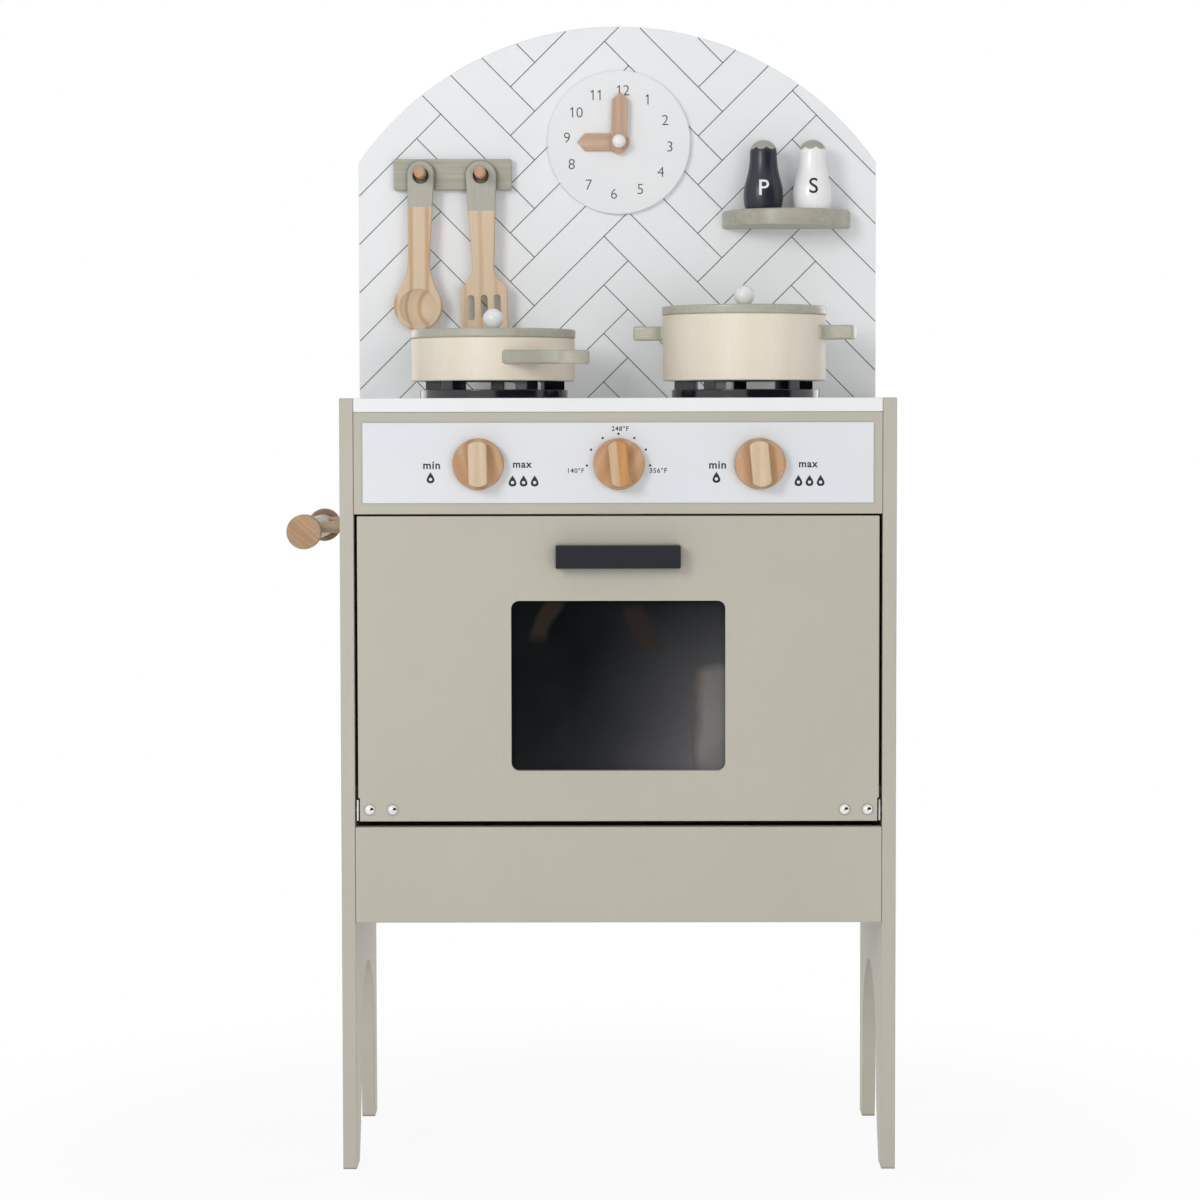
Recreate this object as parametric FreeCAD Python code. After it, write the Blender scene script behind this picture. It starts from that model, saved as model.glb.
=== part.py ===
import FreeCAD, Part
import math
import os

# Wooden toy kitchen, in millimetres. While it is modelled, x runs to the right from the middle of the
# cabinet, y runs from the cabinet's front face to its back and z runs up from the floor.

# Cabinet boards
board = 12.0
cabinet_width = 475.4
cabinet_depth = 246.0
worktop_height = 663.4
control_fascia_height = 87.0
lower_fascia_height = 82.5
edge_round = 1.0

# Leg arch in each side panel
arch_centre_depth = 134.0
arch_radius = 75.0
arch_spring_height = 85.0
front_foot = 30.0
rear_foot = 27.0

# Backsplash and back panel
overall_height = 1005.0
backsplash_shoulder = 217.2
backsplash_tongue = 50.0
backsplash_corner_round = 0.6
back_panel_thickness = 3.0
back_groove_depth = 5.0
back_panel_entry = 4.5
groove_clearance = 0.1

# Screws and dowels that hold the cabinet together
screw_head_radius = 4.0
screw_head_depth = 2.6
screw_shank_radius = 2.0
screw_length = 40.0
screw_socket_radius = 1.7
screw_socket_depth = 1.8
fitting_screw_length = 20.0
dowel_radius = 3.0
dowel_length = 24.0
dowel_panel_depth = 8.0
hole_clearance = 0.05
joint_screw_shares = (0.26, 0.74)

# Oven door, window and handle
door_height = 261.7
door_top_gap = 1.5
door_bottom_gap = 4.9
door_side_gap = 2.7
window_width = 183.2
window_below_door_top = 72.5
window_above_door_bottom = 43.4
window_corner = 7.0
window_thickness = 3.0
window_lap = 8.0
window_fit = 0.2
handle_width = 106.0
handle_height = 19.3
handle_reach = 18.0
handle_below_door_top = 25.0
handle_round = 0.6
handle_screw_spread = 64.0
handle_screw_length = 24.0

# Door hinges: a steel angle on the door turns on a pin in the side panel
pivot_above_door_bottom = 10.0
leaf_thickness = 1.4
leaf_height = 17.8
leaf_reach = 36.0
leaf_front_setback = 1.0
leaf_bottom_setback = 0.6
leaf_recess_depth = 1.5
leaf_proud = 1.25
leaf_recess_spare = 1.8
pin_radius = 2.0
pin_clearance = 0.05
pin_panel_depth = 9.0
pin_door_depth = 3.0
pin_pocket_radius = 2.8
pin_pocket_spare = 0.8
collar_radius = 3.5
collar_gap = 0.4
bolt_outer_inset = 9.75
bolt_spacing = 19.6
bolt_head_radius = 5.0
bolt_head_height = 3.0
bolt_radius = 2.0
nut_across_flats = 7.0
nut_thickness = 3.2
stop_gap = 0.3
sweep_clearance = 1.0

# Magnet catch behind the top of the door
catch_width = 40.0
catch_depth = 12.0
catch_below_fascia = 18.0
catch_above_edge = 16.0
catch_plate_width = 30.0
catch_plate_height = 12.0
catch_plate_thickness = 1.2
catch_plate_drop = 2.5
catch_gap = 0.4

# Control plate and knobs
plate_thickness = 0.8
plate_side_margin = 8.0
plate_top_margin = 9.0
plate_bottom_margin = 9.6
knob_spacing = 119.8
knob_row_offset = 0.9
knob_below_plate_middle = 0.9
knob_radius = 21.8
knob_thickness = 11.0
knob_gap = 0.5
knob_round = 1.6
grip_length = 39.0
grip_width = 16.0
grip_height = 12.0
grip_end_rise = 3.2
grip_corner = 2.6
grip_bevel = 1.4
knob_screw_radius = 3.0
knob_screw_depth = 8.0
knob_washer_radius = 8.0
knob_washer_thickness = 2.5
knob_washer_gap = 0.3
knob_lean_degrees = {"left": -1.5, "middle": -5.8, "right": -5.4}

# Burners
burner_spacing = 223.0
burner_offset = 1.8
burner_centre_depth = 118.0
burner_radius = 65.5
burner_inner_radius = 44.0
burner_ring_height = 7.9
prong_count = 5
prong_width = 12.0
prong_length = 19.0
prong_outer_radius = 63.4
prong_height = 7.8
burner_round = 0.8
burner_turn_degrees = {"left": -2.0, "right": 4.0}

# Pan and pot
vessel_radius = 72.2
vessel_wall = 6.0
vessel_floor = 6.0
vessel_round = 1.4
pan_shift = -0.5
pot_shift = -1.2
pan_height = 37.6
pot_height = 57.8
lid_overhang = 0.7
lid_thickness = 7.9
lid_round = 1.6
lid_step = 3.0
lid_step_clearance = 0.5
ball_radius = 9.1
ball_rise = 0.7
ball_pin_radius = 3.0
ball_pin_depth = 5.0
pot_handle_base_width = 40.0
pot_handle_width = 22.0
pot_handle_reach = 27.4
pot_handle_neck_share = 0.36
pot_handle_cheek_shares = (0.12, 0.72)
pot_handle_end_share = 0.93
pot_handle_thickness = 12.5
pot_handle_round = 2.2
pot_handle_below_rim = 15.4
pot_turn_degrees = 12.0
pan_handle_reach = 120.0
pan_handle_base_width = 40.0
pan_handle_neck_width = 23.0
pan_handle_end_width = 28.0
pan_handle_neck_share = 0.42
pan_handle_cheek_shares = (0.14, 0.72)
pan_handle_end_share = 0.9
pan_handle_thickness = 12.0
pan_handle_round = 2.4
pan_handle_below_rim = 17.3
pan_handle_turn_degrees = 24.0
pan_handle_droop_degrees = 1.2

# Utensil rail, its pegs and the two utensils
rail_width = 108.0
rail_height = 27.9
rail_thickness = 11.0
rail_offset = -150.8
rail_rise = 206.3
rail_screw_spread = 92.0
peg_radius = 5.2
peg_spacing = 54.8
peg_row_shift = -1.2
peg_reach = 33.0
peg_round = 1.2
utensil_thickness = 9.5
utensil_gap = 0.3
utensil_hole_radius = 7.4
utensil_round = 1.6
spoon_length = 154.0
spoon_head_width = 24.4
spoon_head_rise = 13.5
spoon_neck_width = 19.4
spoon_neck_share = 0.53
spoon_cheek_shares = (0.38, 0.63)
spoon_bowl_radius = 22.2
spoon_bowl_shoulder_degrees = 60.0
spoon_recess_radius = 17.2
spoon_recess_depth = 7.2
spoon_recess_drop = 1.4
spoon_lean_degrees = 1.4
turner_length = 157.0
turner_head_width = 28.0
turner_head_rise = 13.5
turner_neck_width = 19.4
turner_neck_share = 0.585
turner_blade_width = 42.8
turner_blade_share = 0.705
turner_cheek_shares = (0.32, 0.56)
turner_corner = 4.0
turner_shoulder_round = 4.0
turner_slot_width = 6.2
turner_slot_length = 23.0
turner_slot_pitch = 12.0
turner_slot_margin = 12.1
turner_lean_degrees = -1.4

# Spice shelf and shakers
shelf_radius = 58.8
shelf_thickness = 15.7
shelf_offset = 155.3
shelf_top_rise = 172.5
shelf_round = 2.0
shelf_screw_spread = 62.0
shaker_spacing = 44.7
shaker_standoff = 29.0
shaker_height = 62.6
shaker_base_radius = 16.3
shaker_belly_radius = 18.0
shaker_shoulder_radius = 15.9
shaker_waist_radius = 13.1
shaker_neck_radius = 12.3
shaker_belly_share = 0.21
shaker_shoulder_share = 0.42
shaker_waist_share = 0.62
shaker_neck_share = 0.82
shaker_cap_height = 6.0

# Clock
clock_radius = 65.5
clock_thickness = 6.0
clock_round = 0.8
clock_offset = 1.6
clock_rise = 235.6
hand_thickness = 4.0
hand_gap = 0.3
minute_hand_length = 45.0
minute_hand_width = 14.4
minute_hand_tail = 3.8
minute_hand_lean_degrees = 2.0
hour_hand_length = 38.0
hour_hand_width = 16.0
hour_hand_tail = 1.7
hand_point = 7.0
hand_round = 0.6
clock_pin_radius = 2.0
clock_pin_grip = 7.0
clock_pin_clearance = 0.05
clock_cap_radius = 6.2

# Towel bar on the left side panel
towel_bar_radius = 10.0
towel_bar_standoff = 33.0
towel_bar_height = 548.8
towel_end_radius = 15.0
towel_end_thickness = 10.0
towel_end_round = 1.2
towel_front_setback = 25.0
towel_rear_setback = 6.0
standoff_radius = 5.2
standoff_rise = 3.0
standoff_inset = 30.0
standoff_panel_depth = 8.0

# How far a cutting tool passes the face that it opens
overrun = 4.0

# Places worked out from the sizes above
half_width = cabinet_width / 2
inner_half = half_width - board
worktop_underside = worktop_height - board
backsplash_front = cabinet_depth - board
shoulder_height = worktop_height + backsplash_shoulder
tongue_bottom = worktop_height - backsplash_tongue
fascia_bottom = worktop_underside - control_fascia_height
door_top = fascia_bottom - door_top_gap
door_bottom = door_top - door_height
door_half = inner_half - door_side_gap
window_height = door_height - window_below_door_top - window_above_door_bottom
lower_fascia_top = door_bottom - door_bottom_gap
lower_fascia_bottom = lower_fascia_top - lower_fascia_height
pivot_height = door_bottom + pivot_above_door_bottom
pivot_depth = board / 2
oven_floor_bottom = pivot_height + board - pivot_depth + stop_gap
oven_floor_front = board + stop_gap
back_panel_front = cabinet_depth - (board + back_panel_thickness) / 2
recess_inner = door_half - leaf_recess_depth
leaf_inner = door_half + leaf_proud - leaf_thickness
leaf_bottom = door_bottom + leaf_bottom_setback
bolt_places = (door_half - bolt_outer_inset, door_half - bolt_outer_inset - bolt_spacing)
plate_middle = fascia_bottom + (control_fascia_height + plate_bottom_margin - plate_top_margin) / 2
knob_height = plate_middle - knob_below_plate_middle
knob_places = {"left": knob_row_offset - knob_spacing, "middle": knob_row_offset,
               "right": knob_row_offset + knob_spacing}
knob_back = -plate_thickness - knob_gap
knob_front = knob_back - knob_thickness
prong_top = worktop_height + burner_ring_height + prong_height
vessel_depth = burner_centre_depth
burner_places = {"left": burner_offset - burner_spacing / 2, "right": burner_offset + burner_spacing / 2}
pan_centre = burner_places["left"] + pan_shift
pot_centre = burner_places["right"] + pot_shift
pan_rim = prong_top + pan_height
pot_rim = prong_top + pot_height
rail_middle = worktop_height + rail_rise
rail_front = backsplash_front - rail_thickness
peg_middle = rail_offset + peg_row_shift
peg_places = (peg_middle - peg_spacing / 2, peg_middle + peg_spacing / 2)
utensil_back = rail_front - utensil_gap
utensil_front = utensil_back - utensil_thickness
utensil_hang = rail_middle - (utensil_hole_radius - peg_radius - utensil_gap)
shelf_top = worktop_height + shelf_top_rise
shaker_places = (shelf_offset - shaker_spacing / 2, shelf_offset + shaker_spacing / 2)
shaker_depth = backsplash_front - shaker_standoff
shaker_crown = shaker_height * (1 - shaker_neck_share)
shaker_ball = (shaker_neck_radius ** 2 + shaker_crown ** 2) / (2 * shaker_crown)
neck_lean = math.asin(shaker_neck_radius / shaker_ball)
cap_lean = math.acos(1 - shaker_cap_height / shaker_ball)
clock_height = worktop_height + clock_rise
clock_front = backsplash_front - clock_thickness
hour_back = clock_front - hand_gap
minute_back = hour_back - hand_thickness - hand_gap
cap_back = minute_back - hand_thickness - hand_gap
towel_axis = -half_width - towel_bar_standoff
towel_front = towel_front_setback
towel_rear = cabinet_depth - towel_rear_setback
standoff_places = (towel_front + towel_end_thickness + standoff_inset,
                   towel_rear - towel_end_thickness - standoff_inset)

across = FreeCAD.Vector(1, 0, 0)
inwards = FreeCAD.Vector(0, 1, 0)
upwards = FreeCAD.Vector(0, 0, 1)


def point(x, y, z):
    return FreeCAD.Vector(x, y, z)


def block(x_low, x_high, y_low, y_high, z_low, z_high):
    return Part.makeBox(x_high - x_low, y_high - y_low, z_high - z_low, point(x_low, y_low, z_low))


def rod(radius, start, end):
    return Part.makeCylinder(radius, (end - start).Length, start, end - start)


def line(start, end):
    return Part.LineSegment(start, end).toShape()


def arc(start, middle, end):
    return Part.Arc(start, middle, end).toShape()


def swept(edges, way):
    return Part.Face(Part.Wire(edges)).extrude(way)


def turned(edges, axis_point, axis):
    return Part.Face(Part.Wire(edges)).revolve(axis_point, axis, 360)


def eased(shape, radius):
    return shape.makeFillet(radius, shape.Edges)


def edges_along(shape, way):
    straight = [edge for edge in shape.Edges if isinstance(edge.Curve, Part.Line)]
    return [edge for edge in straight if edge.Curve.Direction.isParallel(way, math.radians(1))]


def rims(shape):
    return [edge for edge in shape.Edges if isinstance(edge.Curve, Part.Circle) and edge.isClosed()]


def rounded_block(x_low, x_high, y_low, y_high, z_low, z_high, corner):
    body = block(x_low, x_high, y_low, y_high, z_low, z_high)
    return body.makeFillet(corner, edges_along(body, inwards))


def mirrored(shape):
    return shape.mirror(point(0, 0, 0), across)


def moved(shape, place):
    return shape.translated(place)


def turned_about(shape, centre, axis, degrees):
    copy = shape.copy()
    copy.rotate(centre, axis, degrees)
    return copy


def aimed(shape, place, way):
    # A shape drawn at the origin along +z is laid along another direction.
    copy = shape.copy()
    copy.Placement = FreeCAD.Placement(place, FreeCAD.Rotation(upwards, way))
    return copy


def group(solids):
    return Part.makeCompound(solids)


# Fasteners, each drawn with its head's face at the origin and its shank along +z

def hexagon(across_flats, length):
    corner = across_flats / math.sqrt(3)
    turns = [k * math.pi / 3 for k in range(7)]
    corners = [point(corner * math.cos(turn), corner * math.sin(turn), 0) for turn in turns]
    return Part.Face(Part.makePolygon(corners)).extrude(upwards * length)


def screw_blank(length, room):
    head = Part.makeCone(screw_head_radius + room, screw_shank_radius + room, screw_head_depth)
    shank = Part.makeCylinder(screw_shank_radius + room, length + room)
    return head.fuse(shank).removeSplitter()


def screw(place, way, length):
    socket = hexagon(screw_socket_radius * math.sqrt(3), screw_socket_depth)
    return aimed(screw_blank(length, 0).cut(socket), place, way)


def screw_hole(place, way, length):
    return aimed(screw_blank(length, hole_clearance), place, way)


def dome(radius, height):
    # A cap of a sphere standing on z = 0.
    ball = (radius ** 2 + height ** 2) / (2 * height)
    lean = math.asin(radius / ball) / 2
    middle = point(ball * math.sin(lean), 0, height - ball + ball * math.cos(lean))
    top = point(0, 0, height)
    rim = point(radius, 0, 0)
    foot = point(0, 0, 0)
    return turned([line(foot, rim), arc(rim, middle, top), line(top, foot)], foot, upwards)


# Where the cabinet's screws and dowels go: (place of the head, direction, length)

def side_joints():
    floor_middle = oven_floor_bottom + board / 2
    worktop_middle = worktop_height - board / 2
    fascia_middle = board / 2
    spots = []
    for share in joint_screw_shares:
        spots.append((backsplash_front * share, worktop_middle))
        spots.append((fascia_middle, fascia_bottom + control_fascia_height * share))
        spots.append((fascia_middle, lower_fascia_bottom + lower_fascia_height * share))
        spots.append((oven_floor_front + (back_panel_front - oven_floor_front) * share, floor_middle))
        spots.append((board + (back_panel_front - board) * share, lower_fascia_bottom + board / 2))
    spots.append((cabinet_depth - board / 2, worktop_height - backsplash_tongue / 2))
    return spots


def carcass_screw_places():
    places = []
    for depth, height in side_joints():
        places.append((point(half_width, depth, height), across * -1, screw_length))
        places.append((point(-half_width, depth, height), across, screw_length))
    for place in (-knob_spacing, 0.0, knob_spacing):
        places.append((point(place, cabinet_depth, worktop_height - board / 2), inwards * -1, screw_length))
    return places


def fitting_screw_places():
    shelf_middle = shelf_top - shelf_thickness / 2
    places = []
    for side in (-1, 1):
        rail_place = rail_offset + side * rail_screw_spread / 2
        shelf_place = shelf_offset + side * shelf_screw_spread / 2
        places.append((point(rail_place, cabinet_depth, rail_middle), inwards * -1, fitting_screw_length))
        places.append((point(shelf_place, cabinet_depth, shelf_middle), inwards * -1, fitting_screw_length))
    return places


def dowel_places():
    # Half-way between each joint's two screws, from the blind end in the side panel into the board.
    floor_middle = oven_floor_bottom + board / 2
    spots = [
        (backsplash_front / 2, worktop_height - board / 2),
        (board / 2, fascia_bottom + control_fascia_height / 2),
        (board / 2, lower_fascia_bottom + lower_fascia_height / 2),
        ((oven_floor_front + back_panel_front) / 2, floor_middle),
        ((board + back_panel_front) / 2, lower_fascia_bottom + board / 2),
    ]
    places = []
    for depth, height in spots:
        for side in (-1, 1):
            places.append((point(side * (inner_half + dowel_panel_depth), depth, height), across * -side))
    return places


def dowel(place, way, room):
    return rod(dowel_radius + room, place - way * room, place + way * (dowel_length + room))


carcass_holes = [screw_hole(*place) for place in carcass_screw_places()]
fitting_holes = [screw_hole(*place) for place in fitting_screw_places()]
dowel_holes = [dowel(place, way, hole_clearance) for place, way in dowel_places()]
joint_holes = group(carcass_holes + dowel_holes)


# Cabinet

def leg_bend(foot, spring):
    # Depth, half-way down, of the arc that leaves the arch upright and reaches the foot at the floor.
    run = foot - spring
    bend = (arch_spring_height ** 2 + run ** 2) / (2 * abs(run))
    sag = bend - math.sqrt(bend ** 2 - (arch_spring_height / 2) ** 2)
    return spring + math.copysign(sag, run)


def side_panel():
    front_spring = arch_centre_depth - arch_radius
    rear_spring = arch_centre_depth + arch_radius
    rear_inside = cabinet_depth - rear_foot
    half_leg = arch_spring_height / 2

    def on_face(depth, height):
        return point(inner_half, depth, height)

    edges = [
        line(on_face(0, 0), on_face(front_foot, 0)),
        arc(on_face(front_foot, 0), on_face(leg_bend(front_foot, front_spring), half_leg),
            on_face(front_spring, arch_spring_height)),
        arc(on_face(front_spring, arch_spring_height),
            on_face(arch_centre_depth, arch_spring_height + arch_radius),
            on_face(rear_spring, arch_spring_height)),
        arc(on_face(rear_spring, arch_spring_height), on_face(leg_bend(rear_inside, rear_spring), half_leg),
            on_face(rear_inside, 0)),
        line(on_face(rear_inside, 0), on_face(cabinet_depth, 0)),
        line(on_face(cabinet_depth, 0), on_face(cabinet_depth, worktop_height)),
        line(on_face(cabinet_depth, worktop_height), on_face(0, worktop_height)),
        line(on_face(0, worktop_height), on_face(0, 0)),
    ]
    panel = eased(swept(edges, across * board), edge_round)
    groove = block(inner_half - overrun, inner_half + back_groove_depth,
                   back_panel_front - groove_clearance,
                   back_panel_front + back_panel_thickness + groove_clearance,
                   lower_fascia_bottom, tongue_bottom)
    pin_hole = rod(pin_radius + hole_clearance, point(inner_half - overrun, pivot_depth, pivot_height),
                   point(inner_half + pin_panel_depth, pivot_depth, pivot_height))
    return panel.cut([groove, pin_hole])


def worktop():
    top = block(-inner_half, inner_half, 0, backsplash_front, worktop_underside, worktop_height)
    return eased(top, edge_round).cut(joint_holes)


def control_fascia():
    front = eased(block(-inner_half, inner_half, 0, board, fascia_bottom, worktop_underside), edge_round)
    return front.cut(joint_holes).cut(knob_holes())


def control_plate():
    plate_half = inner_half - plate_side_margin
    plate = block(-plate_half, plate_half, -plate_thickness, 0,
                  fascia_bottom + plate_bottom_margin, worktop_underside - plate_top_margin)
    return plate.cut(knob_holes())


def knob_holes():
    radius = knob_screw_radius + pin_clearance
    holes = []
    for place in knob_places.values():
        start = point(place, -overrun - plate_thickness, knob_height)
        holes.append(rod(radius, start, point(place, board + overrun, knob_height)))
    return group(holes)


def lower_fascia():
    front = block(-inner_half, inner_half, 0, board, lower_fascia_bottom, lower_fascia_top)
    return eased(front, edge_round).cut(joint_holes)


def oven_floor():
    # Its front corners are notched so that the hinge leaves and their nuts swing clear.
    floor_top = oven_floor_bottom + board
    shelf = block(-inner_half, inner_half, oven_floor_front, back_panel_front, oven_floor_bottom, floor_top)
    corner_swing = math.hypot(board / 2 + leaf_thickness, pivot_height - leaf_bottom)
    notch_depth = pivot_depth + corner_swing + sweep_clearance
    notch = block(leaf_inner - leaf_reach - sweep_clearance, inner_half + overrun,
                  oven_floor_front - overrun, notch_depth, oven_floor_bottom - overrun, floor_top + overrun)
    return shelf.cut([notch, mirrored(notch)]).cut(joint_holes)


def bottom_board():
    bottom = block(-inner_half, inner_half, board, back_panel_front, lower_fascia_bottom,
                   lower_fascia_bottom + board)
    return bottom.cut(joint_holes)


def back_panel():
    half = inner_half + back_panel_entry
    return block(-half, half, back_panel_front, back_panel_front + back_panel_thickness,
                 lower_fascia_bottom, tongue_bottom)


def backsplash():
    def on_face(x, height):
        return point(x, backsplash_front, height)

    edges = [
        line(on_face(-inner_half, tongue_bottom), on_face(inner_half, tongue_bottom)),
        line(on_face(inner_half, tongue_bottom), on_face(inner_half, worktop_height)),
        line(on_face(inner_half, worktop_height), on_face(half_width, worktop_height)),
        line(on_face(half_width, worktop_height), on_face(half_width, shoulder_height)),
        arc(on_face(half_width, shoulder_height), on_face(0, overall_height),
            on_face(-half_width, shoulder_height)),
        line(on_face(-half_width, shoulder_height), on_face(-half_width, worktop_height)),
        line(on_face(-half_width, worktop_height), on_face(-inner_half, worktop_height)),
        line(on_face(-inner_half, worktop_height), on_face(-inner_half, tongue_bottom)),
    ]
    splash = swept(edges, inwards * board)
    crown = [edge for edge in splash.Edges if isinstance(edge.Curve, Part.Circle)]
    splash = splash.makeFillet(backsplash_corner_round, crown)
    pin_hole = rod(clock_pin_radius + hole_clearance,
                   point(clock_offset, backsplash_front - overrun, clock_height),
                   point(clock_offset, cabinet_depth + overrun, clock_height))
    return splash.cut(joint_holes).cut(group(fitting_holes)).cut(pin_hole)


# Door

def oven_door():
    leaf = eased(block(-door_half, door_half, 0, board, door_bottom, door_top), edge_round)
    window_half = window_width / 2
    window_top = door_top - window_below_door_top
    window_bottom = window_top - window_height
    opening = rounded_block(-window_half, window_half, -overrun, board + overrun,
                            window_bottom, window_top, window_corner)
    seat = rounded_block(-window_half - window_lap, window_half + window_lap,
                         board - window_thickness, board + overrun,
                         window_bottom - window_lap, window_top + window_lap, window_corner)
    recess = block(recess_inner, door_half + overrun, -overrun, board + overrun,
                   door_bottom - overrun, leaf_bottom + leaf_height + leaf_recess_spare)
    pocket_end = leaf_inner - pin_door_depth - pin_pocket_spare
    pocket = rod(pin_pocket_radius, point(pocket_end, pivot_depth, pivot_height),
                 point(leaf_inner + overrun, pivot_depth, pivot_height))
    tools = [opening, seat, recess, mirrored(recess), pocket, mirrored(pocket)]
    tools += [screw_hole(*place) for place in handle_screw_places()]
    tools += [rod(bolt_radius + hole_clearance, point(place, -overrun, pivot_height),
                  point(place, board + overrun, pivot_height)) for place in all_bolt_places()]
    return leaf.cut(tools)


def oven_window():
    window_half = window_width / 2 + window_lap - window_fit
    window_top = door_top - window_below_door_top + window_lap - window_fit
    window_bottom = door_top - window_below_door_top - window_height - window_lap + window_fit
    return rounded_block(-window_half, window_half, board - window_thickness, board,
                         window_bottom, window_top, window_corner)


def handle_middle():
    return door_top - handle_below_door_top - handle_height / 2


def handle_screw_places():
    half = handle_screw_spread / 2
    heads = [point(side * half, board, handle_middle()) for side in (-1, 1)]
    return [(head, inwards * -1, handle_screw_length) for head in heads]


def door_handle():
    half = handle_width / 2
    bar = block(-half, half, -handle_reach, 0, handle_middle() - handle_height / 2,
                handle_middle() + handle_height / 2)
    outer = [edge for edge in bar.Edges if edge.BoundBox.YMin < -handle_reach / 2]
    return bar.makeFillet(handle_round, outer).cut([screw_hole(*place) for place in handle_screw_places()])


def all_bolt_places():
    return [side * place for side in (-1, 1) for place in bolt_places]


def hinge_bracket():
    leaf_top = leaf_bottom + leaf_height
    side_leaf = block(leaf_inner, leaf_inner + leaf_thickness, leaf_front_setback, board + leaf_thickness,
                      leaf_bottom, leaf_top)
    back_leaf = block(leaf_inner - leaf_reach, leaf_inner, board, board + leaf_thickness,
                      leaf_bottom, leaf_top)
    pin_hole = rod(pin_radius + pin_clearance, point(leaf_inner - overrun, pivot_depth, pivot_height),
                   point(leaf_inner + overrun, pivot_depth, pivot_height))
    bolt_holes = [rod(bolt_radius + hole_clearance, point(place, board - overrun, pivot_height),
                      point(place, board + overrun, pivot_height)) for place in bolt_places]
    return side_leaf.fuse(back_leaf).removeSplitter().cut([pin_hole] + bolt_holes)


def hinge_bolt(place):
    length = board + leaf_thickness + nut_thickness
    head = dome(bolt_head_radius, bolt_head_height)
    shank = rod(bolt_radius, point(0, 0, 0), upwards * -length)
    return aimed(head.fuse(shank), point(place, 0, pivot_height), inwards * -1)


def hinge_nut(place):
    bore = Part.makeCylinder(bolt_radius + hole_clearance, nut_thickness)
    return aimed(hexagon(nut_across_flats, nut_thickness).cut(bore),
                 point(place, board + leaf_thickness, pivot_height), inwards)


def hinge_pin():
    # A shoulder pin driven into the side panel; its collar keeps the door central.
    shank = rod(pin_radius, point(leaf_inner - pin_door_depth, pivot_depth, pivot_height),
                point(inner_half + pin_panel_depth, pivot_depth, pivot_height))
    collar = rod(collar_radius, point(leaf_inner + leaf_thickness + collar_gap, pivot_depth, pivot_height),
                 point(inner_half, pivot_depth, pivot_height))
    return shank.fuse(collar).removeSplitter()


def catch_plate():
    half = catch_plate_width / 2
    return block(-half, half, board, board + catch_plate_thickness,
                 door_top - catch_plate_drop - catch_plate_height, door_top - catch_plate_drop)


def magnet_catch():
    half = catch_width / 2
    face = board + catch_plate_thickness + catch_gap
    seam = fascia_bottom + edge_round
    foot = block(-half, half, board, face + catch_depth, seam, fascia_bottom + catch_above_edge)
    jaw = block(-half, half, face, face + catch_depth, fascia_bottom - catch_below_fascia, seam)
    return foot.fuse(jaw).removeSplitter()


# Knobs

def knob_turned(shape, name):
    return turned_about(shape, point(knob_places[name], 0, knob_height), inwards, knob_lean_degrees[name])


def knob_disc(name):
    place = knob_places[name]
    disc = rod(knob_radius, point(place, knob_back, knob_height), point(place, knob_front, knob_height))
    front_rim = [edge for edge in rims(disc) if edge.CenterOfMass.y < (knob_back + knob_front) / 2]
    disc = disc.makeFillet(knob_round, front_rim)
    screw_end = point(place, knob_back - knob_screw_depth - hole_clearance, knob_height)
    return disc.cut(rod(knob_screw_radius + hole_clearance, point(place, overrun, knob_height), screw_end))


def knob_grip(name):
    # A bar with bowed ends, rounded corners and softened front edges.
    place = knob_places[name]
    half = grip_width / 2
    straight = grip_length / 2 - grip_end_rise
    front = knob_front - grip_height

    def on_disc(x, height):
        return point(place + x, knob_front, knob_height + height)

    edges = [
        line(on_disc(half, -straight), on_disc(half, straight)),
        arc(on_disc(half, straight), on_disc(0, grip_length / 2), on_disc(-half, straight)),
        line(on_disc(-half, straight), on_disc(-half, -straight)),
        arc(on_disc(-half, -straight), on_disc(0, -grip_length / 2), on_disc(half, -straight)),
    ]
    bar = swept(edges, inwards * -grip_height)
    bar = bar.makeFillet(grip_corner, edges_along(bar, inwards))
    outer = [edge for edge in bar.Edges if edge.BoundBox.YMax < front + grip_height / 2]
    return knob_turned(bar.makeFillet(grip_bevel, outer), name)


def knob_screw(name):
    place = knob_places[name]
    shank = rod(knob_screw_radius, point(place, knob_back - knob_screw_depth, knob_height),
                point(place, board + knob_washer_gap, knob_height))
    washer = rod(knob_washer_radius, point(place, board + knob_washer_gap, knob_height),
                 point(place, board + knob_washer_gap + knob_washer_thickness, knob_height))
    return shank.fuse(washer).removeSplitter()


# Burners, pan and pot

def burner(side):
    base = point(burner_places[side], burner_centre_depth, worktop_height)
    ring = Part.makeCylinder(burner_radius, burner_ring_height, base)
    ring = ring.cut(Part.makeCylinder(burner_inner_radius, burner_ring_height, base))
    upper_rims = [edge for edge in rims(ring) if edge.CenterOfMass.z > base.z + burner_round]
    ring = ring.makeFillet(burner_round, upper_rims)
    prong_inner = prong_outer_radius - prong_length
    upright = block(-prong_width / 2, prong_width / 2, prong_inner, prong_outer_radius,
                    burner_ring_height, burner_ring_height + prong_height)
    upright = upright.makeFillet(burner_round, edges_along(upright, upwards))
    step = 360 / prong_count
    turns = [burner_turn_degrees[side] + k * step for k in range(prong_count)]
    prongs = [turned_about(upright, point(0, 0, 0), upwards, turn) for turn in turns]
    return ring.fuse([moved(prong, base) for prong in prongs]).removeSplitter()


def vessel_body(centre, height):
    base = point(centre, vessel_depth, prong_top)
    body = Part.makeCylinder(vessel_radius, height, base)
    body = body.makeFillet(vessel_round, rims(body))
    return body.cut(Part.makeCylinder(vessel_radius - vessel_wall, height, base + upwards * vessel_floor))


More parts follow.
